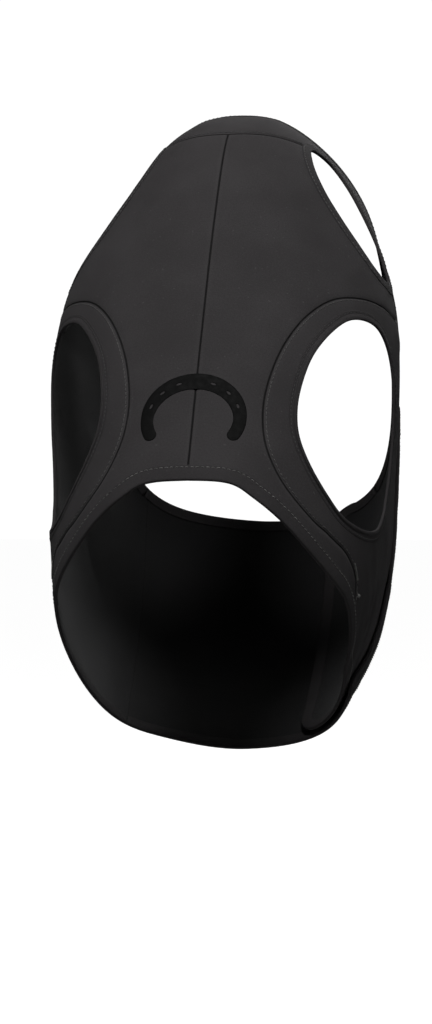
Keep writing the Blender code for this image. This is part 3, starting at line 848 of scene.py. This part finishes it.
def tape_material(name, dark, light, roughness, rib=0.9, **constants):
    """Narrow woven tape, with ribs across it."""
    recipe = Recipe(name, **constants)
    place = recipe.cloth_place()
    apart = recipe.node("SeparateXYZ", place)
    ribs = recipe.math("SINE", recipe.math("MULTIPLY", apart.outputs[1], 100.0 / rib * math.tau))
    warp = recipe.math("SINE", recipe.math("MULTIPLY", apart.outputs[0], 100.0 / (rib * 0.7) * math.tau))
    weave = recipe.math("MULTIPLY_ADD", recipe.math("MULTIPLY", ribs, warp), 0.5, 0.5)
    mottle = recipe.noise(place, 60.0, 3.0, 0.6)
    colour = recipe.blend(recipe.spread(mottle, 0.35, 0.65), dark, light)
    # Painted shade: the colour darkens where the weave is low, between the ribs.
    recipe.set("Base Color", recipe.blend(recipe.spread(weave, 0.0, 0.6, 0.5, 0.0), colour, shade(16)))
    recipe.set("Roughness", recipe.spread(mottle, 0.3, 0.7, roughness - 0.08, roughness + 0.08))
    recipe.set("Normal", recipe.bump(weave, 0.5, 0.0002, recipe.bump(mottle, 0.3, 0.0003)))
    return recipe.made


def thread_material(name, dark, light, **constants):
    """Twisted polyester thread."""
    recipe = Recipe(name, **constants)
    place = recipe.solid_place()
    twist = recipe.noise(place, 3200.0, 1.0)
    length = recipe.noise(place, 240.0, 2.0)
    recipe.set("Base Color", recipe.blend(recipe.spread(length, 0.35, 0.65), dark, light))
    recipe.set("Roughness", recipe.spread(twist, 0.3, 0.7, 0.5, 0.68))
    recipe.set("Normal", recipe.bump(twist, 0.5, 0.0001))
    return recipe.made


def ink_material(name):
    """Rubbery print, thin enough for the knit to show, and worn at its edges."""
    recipe = Recipe(name, IOR=1.4, Specular_IOR_Level=0.12)
    place = recipe.cloth_place()
    knit = knit_height(recipe, place, WALE, COURSE)
    patches = recipe.noise(place, 24.0, 4.0, 0.6)
    cracks = recipe.node("TexVoronoi", feature="DISTANCE_TO_EDGE")
    recipe.put(cracks.inputs["Vector"], place)
    recipe.put(cracks.inputs["Scale"], 34.0)
    open_crack = recipe.spread(cracks.outputs[0], 0.0, 0.035, 0.4, 0.0)
    worn = recipe.math("MULTIPLY", open_crack, recipe.spread(patches, 0.5, 0.62))
    colour = recipe.blend(recipe.spread(patches, 0.35, 0.7), shade(2), shade(6))
    recipe.set("Base Color", recipe.blend(worn, colour, shade(26)))
    recipe.set("Roughness", recipe.spread(patches, 0.3, 0.7, 0.62, 0.78))
    recipe.set("Normal", recipe.bump(knit, 0.2, 0.00012, recipe.bump(patches, 0.2, 0.0004)))
    return recipe.made


def nylon_material(name):
    recipe = Recipe(name, IOR=1.53)
    place = recipe.solid_place()
    rub = recipe.noise(place, 320.0, 3.0)
    recipe.set("Base Color", recipe.blend(recipe.spread(rub, 0.35, 0.65), shade(20), shade(34)))
    recipe.set("Roughness", recipe.spread(rub, 0.3, 0.7, 0.32, 0.5))
    recipe.set("Normal", recipe.bump(rub, 0.25, 0.0002))
    return recipe.made


def make_materials():
    sheen = {"Sheen_Weight": 0.02, "Sheen_Roughness": 0.5, "IOR": 1.35, "Specular_IOR_Level": 0.2}
    return {
        "cloth": knit_material("stretch_fabric", shade(52, 50, 51), shade(63, 61, 62), shade(84, 82, 83),
                               0.86, **sheen),
        # The inside face of the cloth: its coarser back knit is real, and its much darker colour is painted
        # shade.
        "back_painted_shade": knit_material("fabric_back_painted_shade", shade(26, 26, 27), shade(34, 33, 34), shade(46), 0.9,
                                 wale=0.9, course=0.9, grain=0.5, Sheen_Weight=0.05, Specular_IOR_Level=0.25),
        # The hems are the same cloth folded over. Their colour is a little darker than the cloth's as painted
        # shade against the key light from above.
        "hem": knit_material("hem_fabric_painted_shade", shade(47, 45, 46), shade(57, 55, 56), shade(70, 68, 69),
                             0.84, wale=0.6, course=0.6, seamed=False, **sheen),
        "tape": tape_material("seam_tape", shade(40), shade(52), 0.72),
        "loop": tape_material("loop_fabric", shade(24), shade(34), 0.95, rib=1.4, Sheen_Weight=0.5),
        "hook": nylon_material("hook_nylon"),
        "thread": thread_material("hem_thread", shade(84, 84, 82), shade(116, 116, 113), Sheen_Weight=0.1),
        "seam_thread": thread_material("seam_thread", shade(60, 60, 59), shade(82, 82, 80), Sheen_Weight=0.1),
        "dark_thread": thread_material("dark_thread", shade(34), shade(48), Sheen_Weight=0.1),
        "ink": ink_material("print_ink"),
    }


# Geometry node trees for what repeats.

class Tree:
    """A geometry node tree in the making, with its named inputs."""

    def __init__(self, name, *inputs):
        self.tree = bpy.data.node_groups.new(name, "GeometryNodeTree")
        self.tree.interface.new_socket("Geometry", in_out="INPUT", socket_type="NodeSocketGeometry")
        self.tree.interface.new_socket("Geometry", in_out="OUTPUT", socket_type="NodeSocketGeometry")
        self.names = {}
        for label, kind in inputs:
            made = self.tree.interface.new_socket(label, in_out="INPUT", socket_type="NodeSocket" + kind)
            self.names[label] = made.identifier
        self.source = self.tree.nodes.new("NodeGroupInput")

    def input(self, label):
        return self.source.outputs[label]

    def node(self, kind, settings=(), **links):
        made = self.tree.nodes.new(kind)
        for key, value in dict(settings).items():
            setattr(made, key, value)
        for label, value in links.items():
            feed(self.tree, made.inputs[label.replace("_", " ")], value)
        return made

    def math(self, operation, first, second):
        made = self.node("ShaderNodeMath", {"operation": operation})
        for socket, value in zip(made.inputs, (first, second)):
            feed(self.tree, socket, value)
        return made.outputs[0]

    def vector(self, x=0.0, y=0.0, z=0.0):
        return self.node("ShaderNodeCombineXYZ", X=x, Y=y, Z=z).outputs[0]

    def random(self, low, high, salt):
        made = self.node("FunctionNodeRandomValue", {"data_type": "FLOAT"})
        made.inputs[2].default_value = low
        made.inputs[3].default_value = high
        self.tree.links.new(self.math("ADD", self.input("Seed"), salt), made.inputs["Seed"])
        return made.outputs[1]

    def named(self, name):
        made = self.node("GeometryNodeInputNamedAttribute", {"data_type": "FLOAT_VECTOR"}, Name=name)
        return made.outputs["Attribute"]

    def stood_on(self, up, along, turn):
        """A rotation that stands things on the cloth, pointing along it, and turns them."""
        stood = self.node("FunctionNodeAlignRotationToVector", {"axis": "Z"}, Vector=up)
        pointed = self.node("FunctionNodeAlignRotationToVector", {"axis": "X", "pivot_axis": "Z"},
                            Rotation=stood.outputs[0], Vector=along)
        spin = self.node("FunctionNodeEulerToRotation", Euler=self.vector(z=turn))
        made = self.node("FunctionNodeRotateRotation", {"rotation_space": "LOCAL"},
                         Rotation=pointed.outputs[0], Rotate_By=spin.outputs[0])
        return made.outputs[0]

    def placed(self, points, shape, rotation):
        """Copies of a shape on the points, made real, with the material that was asked for."""
        copies = self.node("GeometryNodeInstanceOnPoints", Points=points, Instance=shape, Rotation=rotation,
                           Scale=self.node("ShaderNodeCombineXYZ", X=self.random(0.85, 1.12, 1), Y=1.0,
                                           Z=self.random(0.85, 1.15, 2)).outputs[0])
        real = self.node("GeometryNodeRealizeInstances", Geometry=copies.outputs[0])
        soft = self.node("GeometryNodeSetShadeSmooth", Geometry=real.outputs[0])
        final = self.node("GeometryNodeSetMaterial", Geometry=soft.outputs[0],
                          Material=self.input("Material"))
        end = self.tree.nodes.new("NodeGroupOutput")
        self.tree.links.new(final.outputs[0], end.inputs[0])

    def tube(self, curve, sides):
        ring = self.node("GeometryNodeCurvePrimitiveCircle", {"mode": "RADIUS"}, Resolution=sides,
                         Radius=self.math("MULTIPLY", self.input("Thickness"), 0.5))
        return self.node("GeometryNodeCurveToMesh", Curve=curve, Profile_Curve=ring.outputs[0],
                         Fill_Caps=True).outputs[0]


def stitch_tree():
    """Short bowed stitches along a line, each dipping into the cloth at both ends."""
    tree = Tree("stitch_row", ("Pitch", "Float"), ("Length", "Float"), ("Thickness", "Float"),
                ("Turn", "Float"), ("Seed", "Int"), ("Material", "Material"))
    curve = tree.node("GeometryNodeMeshToCurve", Mesh=tree.input("Geometry"))
    points = tree.node("GeometryNodeResampleCurve", {"mode": "LENGTH"}, Curve=curve.outputs[0],
                       Length=tree.input("Pitch"))
    half = tree.math("MULTIPLY", tree.input("Length"), 0.5)
    dip = tree.math("MULTIPLY", tree.input("Thickness"), -0.9)
    rise = tree.math("MULTIPLY", tree.input("Thickness"), 1.6)
    bow = tree.node("GeometryNodeCurveQuadraticBezier", Resolution=6,
                    Start=tree.vector(x=tree.math("MULTIPLY", half, -1.0), z=dip),
                    Middle=tree.vector(z=rise), End=tree.vector(x=half, z=dip))
    tangent = tree.node("GeometryNodeInputTangent").outputs[0]
    turn = tree.math("ADD", tree.input("Turn"), tree.random(-0.12, 0.12, 3))
    tree.placed(points.outputs[0], tree.tube(bow.outputs[0], 6),
                tree.stood_on(tree.named("up"), tangent, turn))
    return tree


def pile_tree():
    """Small bent filaments on points: hooks, or loops whose both ends are in the tape."""
    tree = Tree("tape_pile", ("Height", "Float"), ("Reach", "Float"), ("Tip Height", "Float"),
                ("Thickness", "Float"), ("Swing", "Float"), ("Seed", "Int"), ("Material", "Material"))
    tall = tree.input("Height")
    bent = tree.node("GeometryNodeCurvePrimitiveBezierSegment", {"mode": "POSITION"}, Resolution=5,
                     Start=(0.0, 0.0, -0.0001), Start_Handle=tree.vector(z=tree.math("MULTIPLY", tall, 1.3)),
                     End_Handle=tree.vector(x=tree.input("Reach"), z=tree.math("MULTIPLY", tall, 1.4)),
                     End=tree.vector(x=tree.input("Reach"), z=tree.input("Tip Height")))
    swing = tree.math("MULTIPLY", tree.input("Swing"), tree.random(-1.0, 1.0, 5))
    tree.placed(tree.input("Geometry"), tree.tube(bent.outputs[0], 5),
                tree.stood_on(tree.named("up"), tree.named("along"), swing))
    return tree


def grown(name, tree, source, **inputs):
    """The plain mesh that a tree makes from a source mesh."""
    holder = bpy.data.objects.new(name + "_source", source)
    bpy.context.scene.collection.objects.link(holder)
    modifier = holder.modifiers.new("grow", "NODES")
    modifier.node_group = tree.tree
    for label, value in inputs.items():
        modifier[tree.names[label.replace("_", " ")]] = value
    holder.update_tag()
    graph = bpy.context.evaluated_depsgraph_get()
    mesh = bpy.data.meshes.new_from_object(holder.evaluated_get(graph))
    bpy.data.objects.remove(holder, do_unlink=True)
    mesh.name = name
    obj = bpy.data.objects.new(name, mesh)
    bpy.context.scene.collection.objects.link(obj)
    return obj


def marked_mesh(name, points, ups, alongs=None, edges=()):
    mesh = bpy.data.meshes.new(name)
    mesh.from_pydata(points.tolist(), list(edges), [])
    for label, values in (("up", ups), ("along", alongs)):
        if values is not None:
            mesh.attributes.new(label, "FLOAT_VECTOR", "POINT").data.foreach_set(
                "vector", values.astype(np.float32).ravel())
    return mesh


def stitched(name, line, height, material, across=0.0, closed=False, to_mask=same, lift=no_lift, side=1,
             pitch=3.0, length=2.2, thick=0.42, turn=0.0, seed=1):
    """A row of stitches beside a line of places."""
    line = np.array(line, float)
    places = line + sideways(line, closed) * across
    on_mask = to_mask(places) * (1, side)
    points = skin(on_mask, lift(places) + height)
    count = len(points)
    edges = [(i, i + 1) for i in range(count - 1)] + ([(count - 1, 0)] if closed else [])
    mesh = marked_mesh(name, points, outward(on_mask), edges=edges)
    return grown(name, STITCHES, mesh, Pitch=pitch * MM, Length=length * MM, Thickness=thick * MM,
                 Turn=float(turn), Seed=seed, Material=material)


STITCHES = stitch_tree()
PILE = pile_tree()
LOOK = make_materials()


# Pieces.

def on_mask(obj, slot, *nodes):
    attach(obj, "mask")
    if nodes:
        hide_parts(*nodes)
    return obj


def on_flap(obj, slot, *nodes):
    """A piece of the flap, with its transform baked into its mesh."""
    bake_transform(obj)
    if nodes:
        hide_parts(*nodes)
    return obj


def hinge_bend():
    """Where the flap's cloth starts to bend, by the hinge seam, and where it has turned all the way."""
    joint = frame["joints"][0]
    axis, pin = Vector(joint["axis"]), Vector(joint["pos_m"])
    line = place_on_jaw(hinge_line())
    seam = surface(line) * MM
    beside = surface(place_on_jaw(hinge_line(-20.0))) * MM
    into_flap = Vector((beside - seam).mean(axis=0))
    into_flap -= axis * into_flap.dot(axis)
    into_flap.normalize()
    reach = (seam - np.array(pin)) @ np.array(into_flap)
    return [pin + into_flap * float(reach.max() + past * MM) for past in (BEND_FROM, BEND_TO)]


BEND_START, BEND_END = hinge_bend()


def face_outline():
    centre = even(np.array([(CROWN_SEAM[0][0], 0.0), (NOSE_EDGE[0][0], 0.0)]), EDGE_STEP)
    nose = edge_run(NOSE, 0, SEAM["foot"][1])
    return np.vstack([centre[:-1], nose[:-1], SEAM["side"][::-1][:-1], SEAM["ear_front"][::-1][:-1],
                      SEAM["crown"][::-1][:-1]])


def side_outline(lower_edge):
    return np.vstack([SEAM["side"][:-1], lower_edge[:-1], SEAM["temple"][::-1][:-1],
                      SEAM["ear_lower"][::-1][:-1]])


def left_side_outline():
    margin = place_on_jaw(margin_edge())
    nose = edge_run(NOSE, SIDE_SEAM_NOSE, margin[0, 1] - 3)
    rear = edge_run(REAR, margin[-1, 1] - 3, TEMPLE_SEAM_REAR)
    return side_outline(np.vstack([nose, margin, rear]))


def right_side_outline():
    hinge = hinge_line(-HINGE_LAP)
    hinge[:, 1] = half_girth(hinge[:, 0]) - hinge[:, 1]
    nose = edge_run(NOSE, SIDE_SEAM_NOSE, hinge[0, 1])
    rear = edge_run(REAR, hinge[-1, 1], TEMPLE_SEAM_REAR)
    return side_outline(np.vstack([nose[:-1], hinge[:-1], rear]))


def poll_outline():
    rear = edge_run(REAR, 0, TEMPLE_SEAM_REAR)
    half = np.vstack([SEAM["crown"][:-1], SEAM["ear_back"][::-1][:-1], SEAM["temple"]])
    return np.vstack([both_halves(half), both_halves(rear)[::-1][1:-1]])


def build_panels():
    """The six panels of cloth."""
    # Outside faces take the cloth; inside faces take its darker copy with painted shade.
    cloth = [LOOK["cloth"], LOOK["back_painted_shade"]]
    made = {}
    for word, side in SIDES:
        made["face_" + word] = cloth_panel("cloth_face_" + word, cloth, face_outline(), side=side)
    made["side_left"] = cloth_panel("cloth_side_left", cloth, left_side_outline(), [EYE])
    made["side_right"] = cloth_panel("cloth_side_right", cloth, right_side_outline(), [EYE], side=-1)
    made["poll"] = cloth_panel("cloth_poll_band", cloth, poll_outline())
    outline = np.vstack([flap_edge(), hinge_line(HINGE_LAP)[::-1][1:-1]])
    made["flap"] = cloth_panel("cloth_jaw_flap", cloth, outline, to_mask=place_on_jaw, lift=flap_lift)
    for key, node in (("face_left", "face_panel_left"), ("face_right", "face_panel_right"),
                      ("side_left", "side_panel_left"), ("side_right", "side_panel_right"),
                      ("poll", "poll_band")):
        on_mask(made[key], "stretch_fabric", node)
    on_flap(made["flap"], "stretch_fabric", "jaw_flap")
    return made


def hem_line(edge, end):
    """A hem's whole line, from the hinge round the forehead to the margin.

    end is 0 for the front edge and -1 for the rear one.
    """
    hinge = hinge_line()
    right = half_girth(hinge[end, 0]) - hinge[end, 1]
    margin = place_on_jaw(margin_edge())
    return np.vstack([edge_run(edge, right, 0)[:-1] * (1, -1), edge_run(edge, 0, margin[end, 1] - 1)])


def build_hems():
    made = {}
    for word, side in SIDES:
        made["eye_" + word] = on_mask(
            hem("hem_eye_" + word, LOOK["hem"], EYE, False, EYE_LEG, EYE_HEM_CLOTH, closed=True, side=side),
            "binding_elastic", "eye_binding_" + word)
        made["ear_" + word] = on_mask(
            hem("hem_ear_" + word, LOOK["hem"], EAR, False, EAR_LEG, closed=True, side=side),
            "binding_elastic", "ear_binding_" + word)
    made["nose"] = on_mask(hem("hem_nose", LOOK["hem"], hem_line(NOSE, 0), True, NOSE_LEG),
                           "binding_elastic", "nose_binding")
    made["rear"] = on_mask(hem("hem_neck", LOOK["hem"], hem_line(REAR, -1), False, REAR_LEG),
                           "binding_elastic", "rear_binding")
    made["margin"] = on_mask(hem("hem_margin", LOOK["hem"], margin_edge(), True, FLAP_LEG,
                                 to_mask=place_on_jaw), "binding_elastic", "margin_binding")
    made["flap"] = on_flap(hem("hem_flap", LOOK["hem"], flap_edge(), False, FLAP_LEG,
                               to_mask=place_on_jaw, lift=flap_lift), "binding_elastic", "flap_binding")
    return made


def build_seam_tapes():
    """Soft tapes inside, over the seams."""
    profile = tape_profile(10.0, -0.85, -0.1)
    ripple = ([0.05] * len(profile), 3.2)
    centre = even(np.array([(CROWN_SEAM[0][0] + 9.0, 0.0), (NOSE_EDGE[0][0] - 10.0, 0.0)]), EDGE_STEP)
    crown = both_halves(SEAM["crown"])
    lines = [("centre_seam_tape", centre, 1), ("crown_seam_tape", crown[np.abs(crown[:, 1]) < 45.0], 1)]
    for word, side in SIDES:
        lines.append(("side_seam_tape_" + word, trimmed(SEAM["side"], 9.0, 11.0), side))
        lines.append(("temple_seam_tape_" + word, trimmed(SEAM["temple"], 9.0, 10.0), side))
    for name, line, side in lines:
        piece = sweep("inner_" + name, LOOK["tape"], line, profile, side=side, ripple=ripple)
        on_mask(piece, "seam_tape", name)
        for word, across in (("a", -3.8), ("b", 3.8)):
            row = stitched(f"thread_{name}_{word}", line, -0.9, LOOK["dark_thread"], across=across,
                           side=side, pitch=3.2, length=2.2, thick=0.35, seed=7)
            on_mask(row, "seam_tape")


def build_closure():
    """The loop tape on the left cheek and the hook tape inside the flap, each with its pile."""
    line = closure_line()
    width = TAPE_WIDTH
    loop = sweep("tape_loop", LOOK["loop"], line, tape_profile(width, *LOOP_BASE, 8), to_mask=place_on_jaw)
    hook = sweep("tape_hook", LOOK["hook"], line, tape_profile(width, *HOOK_BASE, 8), to_mask=place_on_jaw)
    on_mask(loop, "loop_fabric", "loop_tape")
    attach(hook, "flap")
    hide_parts("hook_tape")
    rows = np.arange(-width / 2 + 1.4, width / 2 - 1.3, 1.45)
    along = even(line, 1.5)
    spots = np.concatenate([along + sideways(along) * over for over in rows])
    heading = np.concatenate([unit(np.gradient(surface(place_on_jaw(along)), axis=0))] * len(rows))
    ground = place_on_jaw(spots)
    up = outward(ground)
    loops = marked_mesh("loops", skin(ground, np.full(len(ground), LOOP_BASE[1])), up, heading)
    hooks = marked_mesh("hooks", skin(ground, np.full(len(ground), HOOK_BASE[0])), -up, heading)
    pile = grown("tape_loop_pile", PILE, loops, Height=1.1 * MM, Reach=0.9 * MM, Tip_Height=-0.1 * MM,
                 Thickness=0.16 * MM, Swing=3.1, Seed=3, Material=LOOK["loop"])
    teeth = grown("tape_hook_teeth", PILE, hooks, Height=0.75 * MM, Reach=0.5 * MM, Tip_Height=0.35 * MM,
                  Thickness=0.2 * MM, Swing=0.25, Seed=4, Material=LOOK["hook"])
    on_mask(pile, "loop_fabric")
    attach(teeth, "flap")
    border = inset_border(line, width / 2 - TAPE_ROW)
    inner = stitched("thread_loop_tape", border, LOOP_BASE[1] + 0.1, LOOK["dark_thread"], closed=True,
                     to_mask=place_on_jaw, pitch=2.8, length=2.0, seed=5)
    on_mask(inner, "loop_fabric")
    outer = stitched("thread_flap_tape", border, FABRIC + 0.12, LOOK["thread"], closed=True,
                     to_mask=place_on_jaw, lift=flap_lift, pitch=3.0, length=2.1, seed=6)
    on_flap(outer, "stretch_fabric")


def inset_border(line, reach):
    """A closed line round a tape, inside its edges."""
    line = trimmed(line, TAPE_ROW, TAPE_ROW)
    across = sideways(line)
    first, last = line + across * reach, line - across * reach
    ends = [np.linspace(a, b, 16)[1:-1] for a, b in ((first[-1], last[-1]), (last[0], first[0]))]
    return even(np.vstack([first, ends[0], last[::-1], ends[1], first[:1]]), EDGE_STEP, closed=True)


def horseshoe():
    """A plain horseshoe's outline, open towards the nose, and its six nail slots."""
    turn = np.radians(np.linspace(-207, 27, 60))
    middle = np.stack([PRINT_DOWN + SHOE_REACH[0] * np.sin(turn), SHOE_REACH[1] * np.cos(turn)], axis=1)
    across = sideways(middle)
    width = 7.6 + 3.6 * np.clip(-np.sin(turn), 0, 1)
    outer, inner = middle + across * width[:, None] / 2, middle - across * width[:, None] / 2
    caps = []
    for index, sign in ((-1, 1), (0, -1)):
        sweep_round = np.radians(np.linspace(90, -90, 9))[1:-1]
        side_way, ahead = across[index] * sign, np.array((across[index][1], -across[index][0])) * sign
        caps.append([middle[index] + (side_way * math.sin(a) + ahead * math.cos(a)) * width[index] / 2
                     for a in sweep_round])
    outline = even(np.vstack([outer, caps[0], inner[::-1], caps[1], outer[:1]]), 1.2, closed=True)
    slots = []
    for angle in NAILS:
        at = np.argmin(np.abs(np.degrees(turn) - angle))
        way, out = np.array((across[at][1], -across[at][0])), across[at]
        slots.append(np.array([
            middle[at] + way * NAIL_SLOT[0] * math.cos(a) + out * NAIL_SLOT[1] * math.sin(a)
            for a in np.linspace(0, math.tau, 12, endpoint=False)]))
    return outline, slots


def build_print():
    outline, slots = horseshoe()
    places, faces = filled(outline, slots, 1.8, (0.5,))
    gap = edge_distance(places, outline)[0]
    thin = np.clip(gap / 0.5, 0, 1)
    low = skin(places, np.full(len(places), FABRIC + 0.01))
    high = skin(places, FABRIC + 0.05 + (PRINT_TOP - FABRIC - 0.05) * thin)
    both, _ = closed_faces(faces, len(places))
    piece = make_piece("print_horseshoe", np.vstack([low, high]), both, [LOOK["ink"]],
                       flat=laid_flat(places), edge=np.concatenate([gap, gap]))
    on_mask(piece, "print_ink", "forehead_print")


def build_thread():
    """Stitch rows on the outside, and the bar tacks that lock them."""
    light, seam, dark = LOOK["thread"], LOOK["seam_thread"], LOOK["dark_thread"]
    hem_top = FABRIC + HEM_SITS + HEM_DIP * HEM_CLOTH + THREAD_SITS
    rows = []
    for word, side in SIDES:
        rows += [
            (stitched("thread_side_seam_" + word, trimmed(SEAM["side"], 7.0, 9.0), FABRIC + 0.05, seam,
                      side=side, seed=11, **SEAM_STITCH), "stretch_fabric"),
            (stitched("thread_ear_" + word, EAR, hem_top, seam, across=-EAR_LEG + HEM_ROW, closed=True,
                      side=side, pitch=3.3, length=1.9, thick=0.36, seed=12), "binding_elastic"),
            (stitched("thread_eye_" + word, EYE, FABRIC + 0.16, dark, across=-EYE_LEG + HEM_ROW,
                      closed=True, side=side, pitch=2.9, length=2.0, thick=0.36, seed=13),
             "binding_elastic"),
            (stitched("thread_temple_" + word, trimmed(SEAM["temple"], 7.0, 8.0), FABRIC + 0.1, dark,
                      side=side, seed=14, **SEAM_STITCH), "stretch_fabric"),
        ]
    rows += [
        (stitched("thread_nose", hem_line(NOSE, 0)[::-1], hem_top, light, across=-NOSE_LEG + HEM_ROW,
                  seed=15, **HEM_STITCH), "binding_elastic"),
        (stitched("thread_neck", hem_line(REAR, -1), hem_top, light, across=-REAR_LEG + HEM_ROW,
                  seed=16, **HEM_STITCH), "binding_elastic"),
        (stitched("thread_margin", margin_edge()[::-1], hem_top, dark, across=-FLAP_LEG + HEM_ROW,
                  to_mask=place_on_jaw, seed=17, **HEM_STITCH), "binding_elastic"),
    ]
    crown = both_halves(SEAM["crown"])
    rows.append((stitched("thread_crown", crown[np.abs(crown[:, 1]) < 55.0], FABRIC + 0.1, dark,
                          across=SEAM_ROW, pitch=3.0, length=2.1, thick=0.36, seed=18), "stretch_fabric"))
    for piece, slot in rows:
        on_mask(piece, slot)
    flap = stitched("thread_flap", flap_edge(), hem_top, light, across=-FLAP_LEG + HEM_ROW,
                    to_mask=place_on_jaw, lift=flap_lift, seed=19, **HEM_STITCH)
    on_flap(flap, "binding_elastic")
    for word, side in SIDES:
        for number, (start, stop) in enumerate(BAR_TACKS):
            line = even(np.array([start, stop], float), 1.0)
            tack = stitched(f"bar_tack_{word}_{number + 1}", line, FABRIC + 0.25, light, side=side,
                            pitch=0.5, length=2.0, thick=0.4, turn=math.radians(78), seed=20 + number)
            on_mask(tack, "stretch_fabric")


# Floor, light and camera.

FLOOR_LEVEL = -0.42
FLOOR_SHADES = ((0.30, 0.30, 0.30, 1), (0.33, 0.33, 0.33, 1))
FLOOR_SEEN = 0.97
ROOM_SEEN = 1.05
ROOM_LIT = 0.03
CAMERA_PLACE = (0.1965, -1.3569, -0.0179)
CAMERA_TURN = 8.5
CAMERA_LENS = 75.83


def build_floor():
    bpy.ops.mesh.primitive_plane_add(size=60.0, location=(0, 0, FLOOR_LEVEL))
    floor = bpy.context.object
    floor.name = "studio_floor"
    recipe = Recipe("studio_floor", Roughness=0.9)
    speckle = recipe.noise(recipe.solid_place(), 3.0, 2.0)
    recipe.set("Base Color", recipe.blend(speckle, *FLOOR_SHADES))
    seen = recipe.node("LightPath").outputs["Is Camera Ray"]
    recipe.set("Emission Color", (1.0, 1.0, 1.0, 1.0))
    recipe.set("Emission Strength", recipe.math("MULTIPLY", seen, FLOOR_SEEN))
    floor.data.materials.append(recipe.made)


def build_world():
    """A white room for the camera, and a dimmer one as light on the mask."""
    world = bpy.data.worlds.new("studio")
    bpy.context.scene.world = world
    world.use_nodes = True
    nodes, links = world.node_tree.nodes, world.node_tree.links
    nodes.clear()
    seen, lit = nodes.new("ShaderNodeBackground"), nodes.new("ShaderNodeBackground")
    seen.inputs[0].default_value = (1, 1, 1, 1)
    seen.inputs[1].default_value = ROOM_SEEN
    lit.inputs[0].default_value = (1, 1, 1, 1)
    lit.inputs[1].default_value = ROOM_LIT
    ray, mix, out = (nodes.new("ShaderNode" + kind) for kind in ("LightPath", "MixShader", "OutputWorld"))
    links.new(ray.outputs["Is Camera Ray"], mix.inputs[0])
    links.new(lit.outputs[0], mix.inputs[1])
    links.new(seen.outputs[0], mix.inputs[2])
    links.new(mix.outputs[0], out.inputs[0])


def softbox(name, place, aim, size, power):
    light = bpy.data.lights.new(name, "AREA")
    light.shape = "DISK"
    light.size = size
    light.energy = power
    obj = bpy.data.objects.new(name, light)
    obj.location = place
    obj.rotation_euler = (Vector(aim) - Vector(place)).to_track_quat("-Z", "Y").to_euler()
    bpy.context.scene.collection.objects.link(obj)


def build_lights():
    softbox("key_light", (0.05, -1.15, 2.1), (0, -0.05, 0.05), 1.0, 52)
    softbox("back_light", (0.3, 2.1, 1.3), (0, 0, 0), 1.4, 12)
    softbox("left_light", (2.2, 0.5, 0.9), (0, 0, 0), 1.4, 1)
    softbox("right_light", (-2.2, 0.5, 0.9), (0, 0, 0), 1.4, 1)


def build_camera():
    camera = bpy.data.cameras.new("camera")
    camera.lens = CAMERA_LENS
    obj = bpy.data.objects.new("camera", camera)
    obj.location = CAMERA_PLACE
    obj.rotation_euler = (math.radians(90), 0, math.radians(CAMERA_TURN))
    bpy.context.scene.collection.objects.link(obj)
    bpy.context.scene.camera = obj


def main():
    bpy.context.scene.view_settings.view_transform = "Standard"
    build_camera()
    build_world()
    build_lights()
    build_floor()
    panels = build_panels()
    hems = build_hems()
    build_seam_tapes()
    build_closure()
    build_print()
    build_thread()


main()
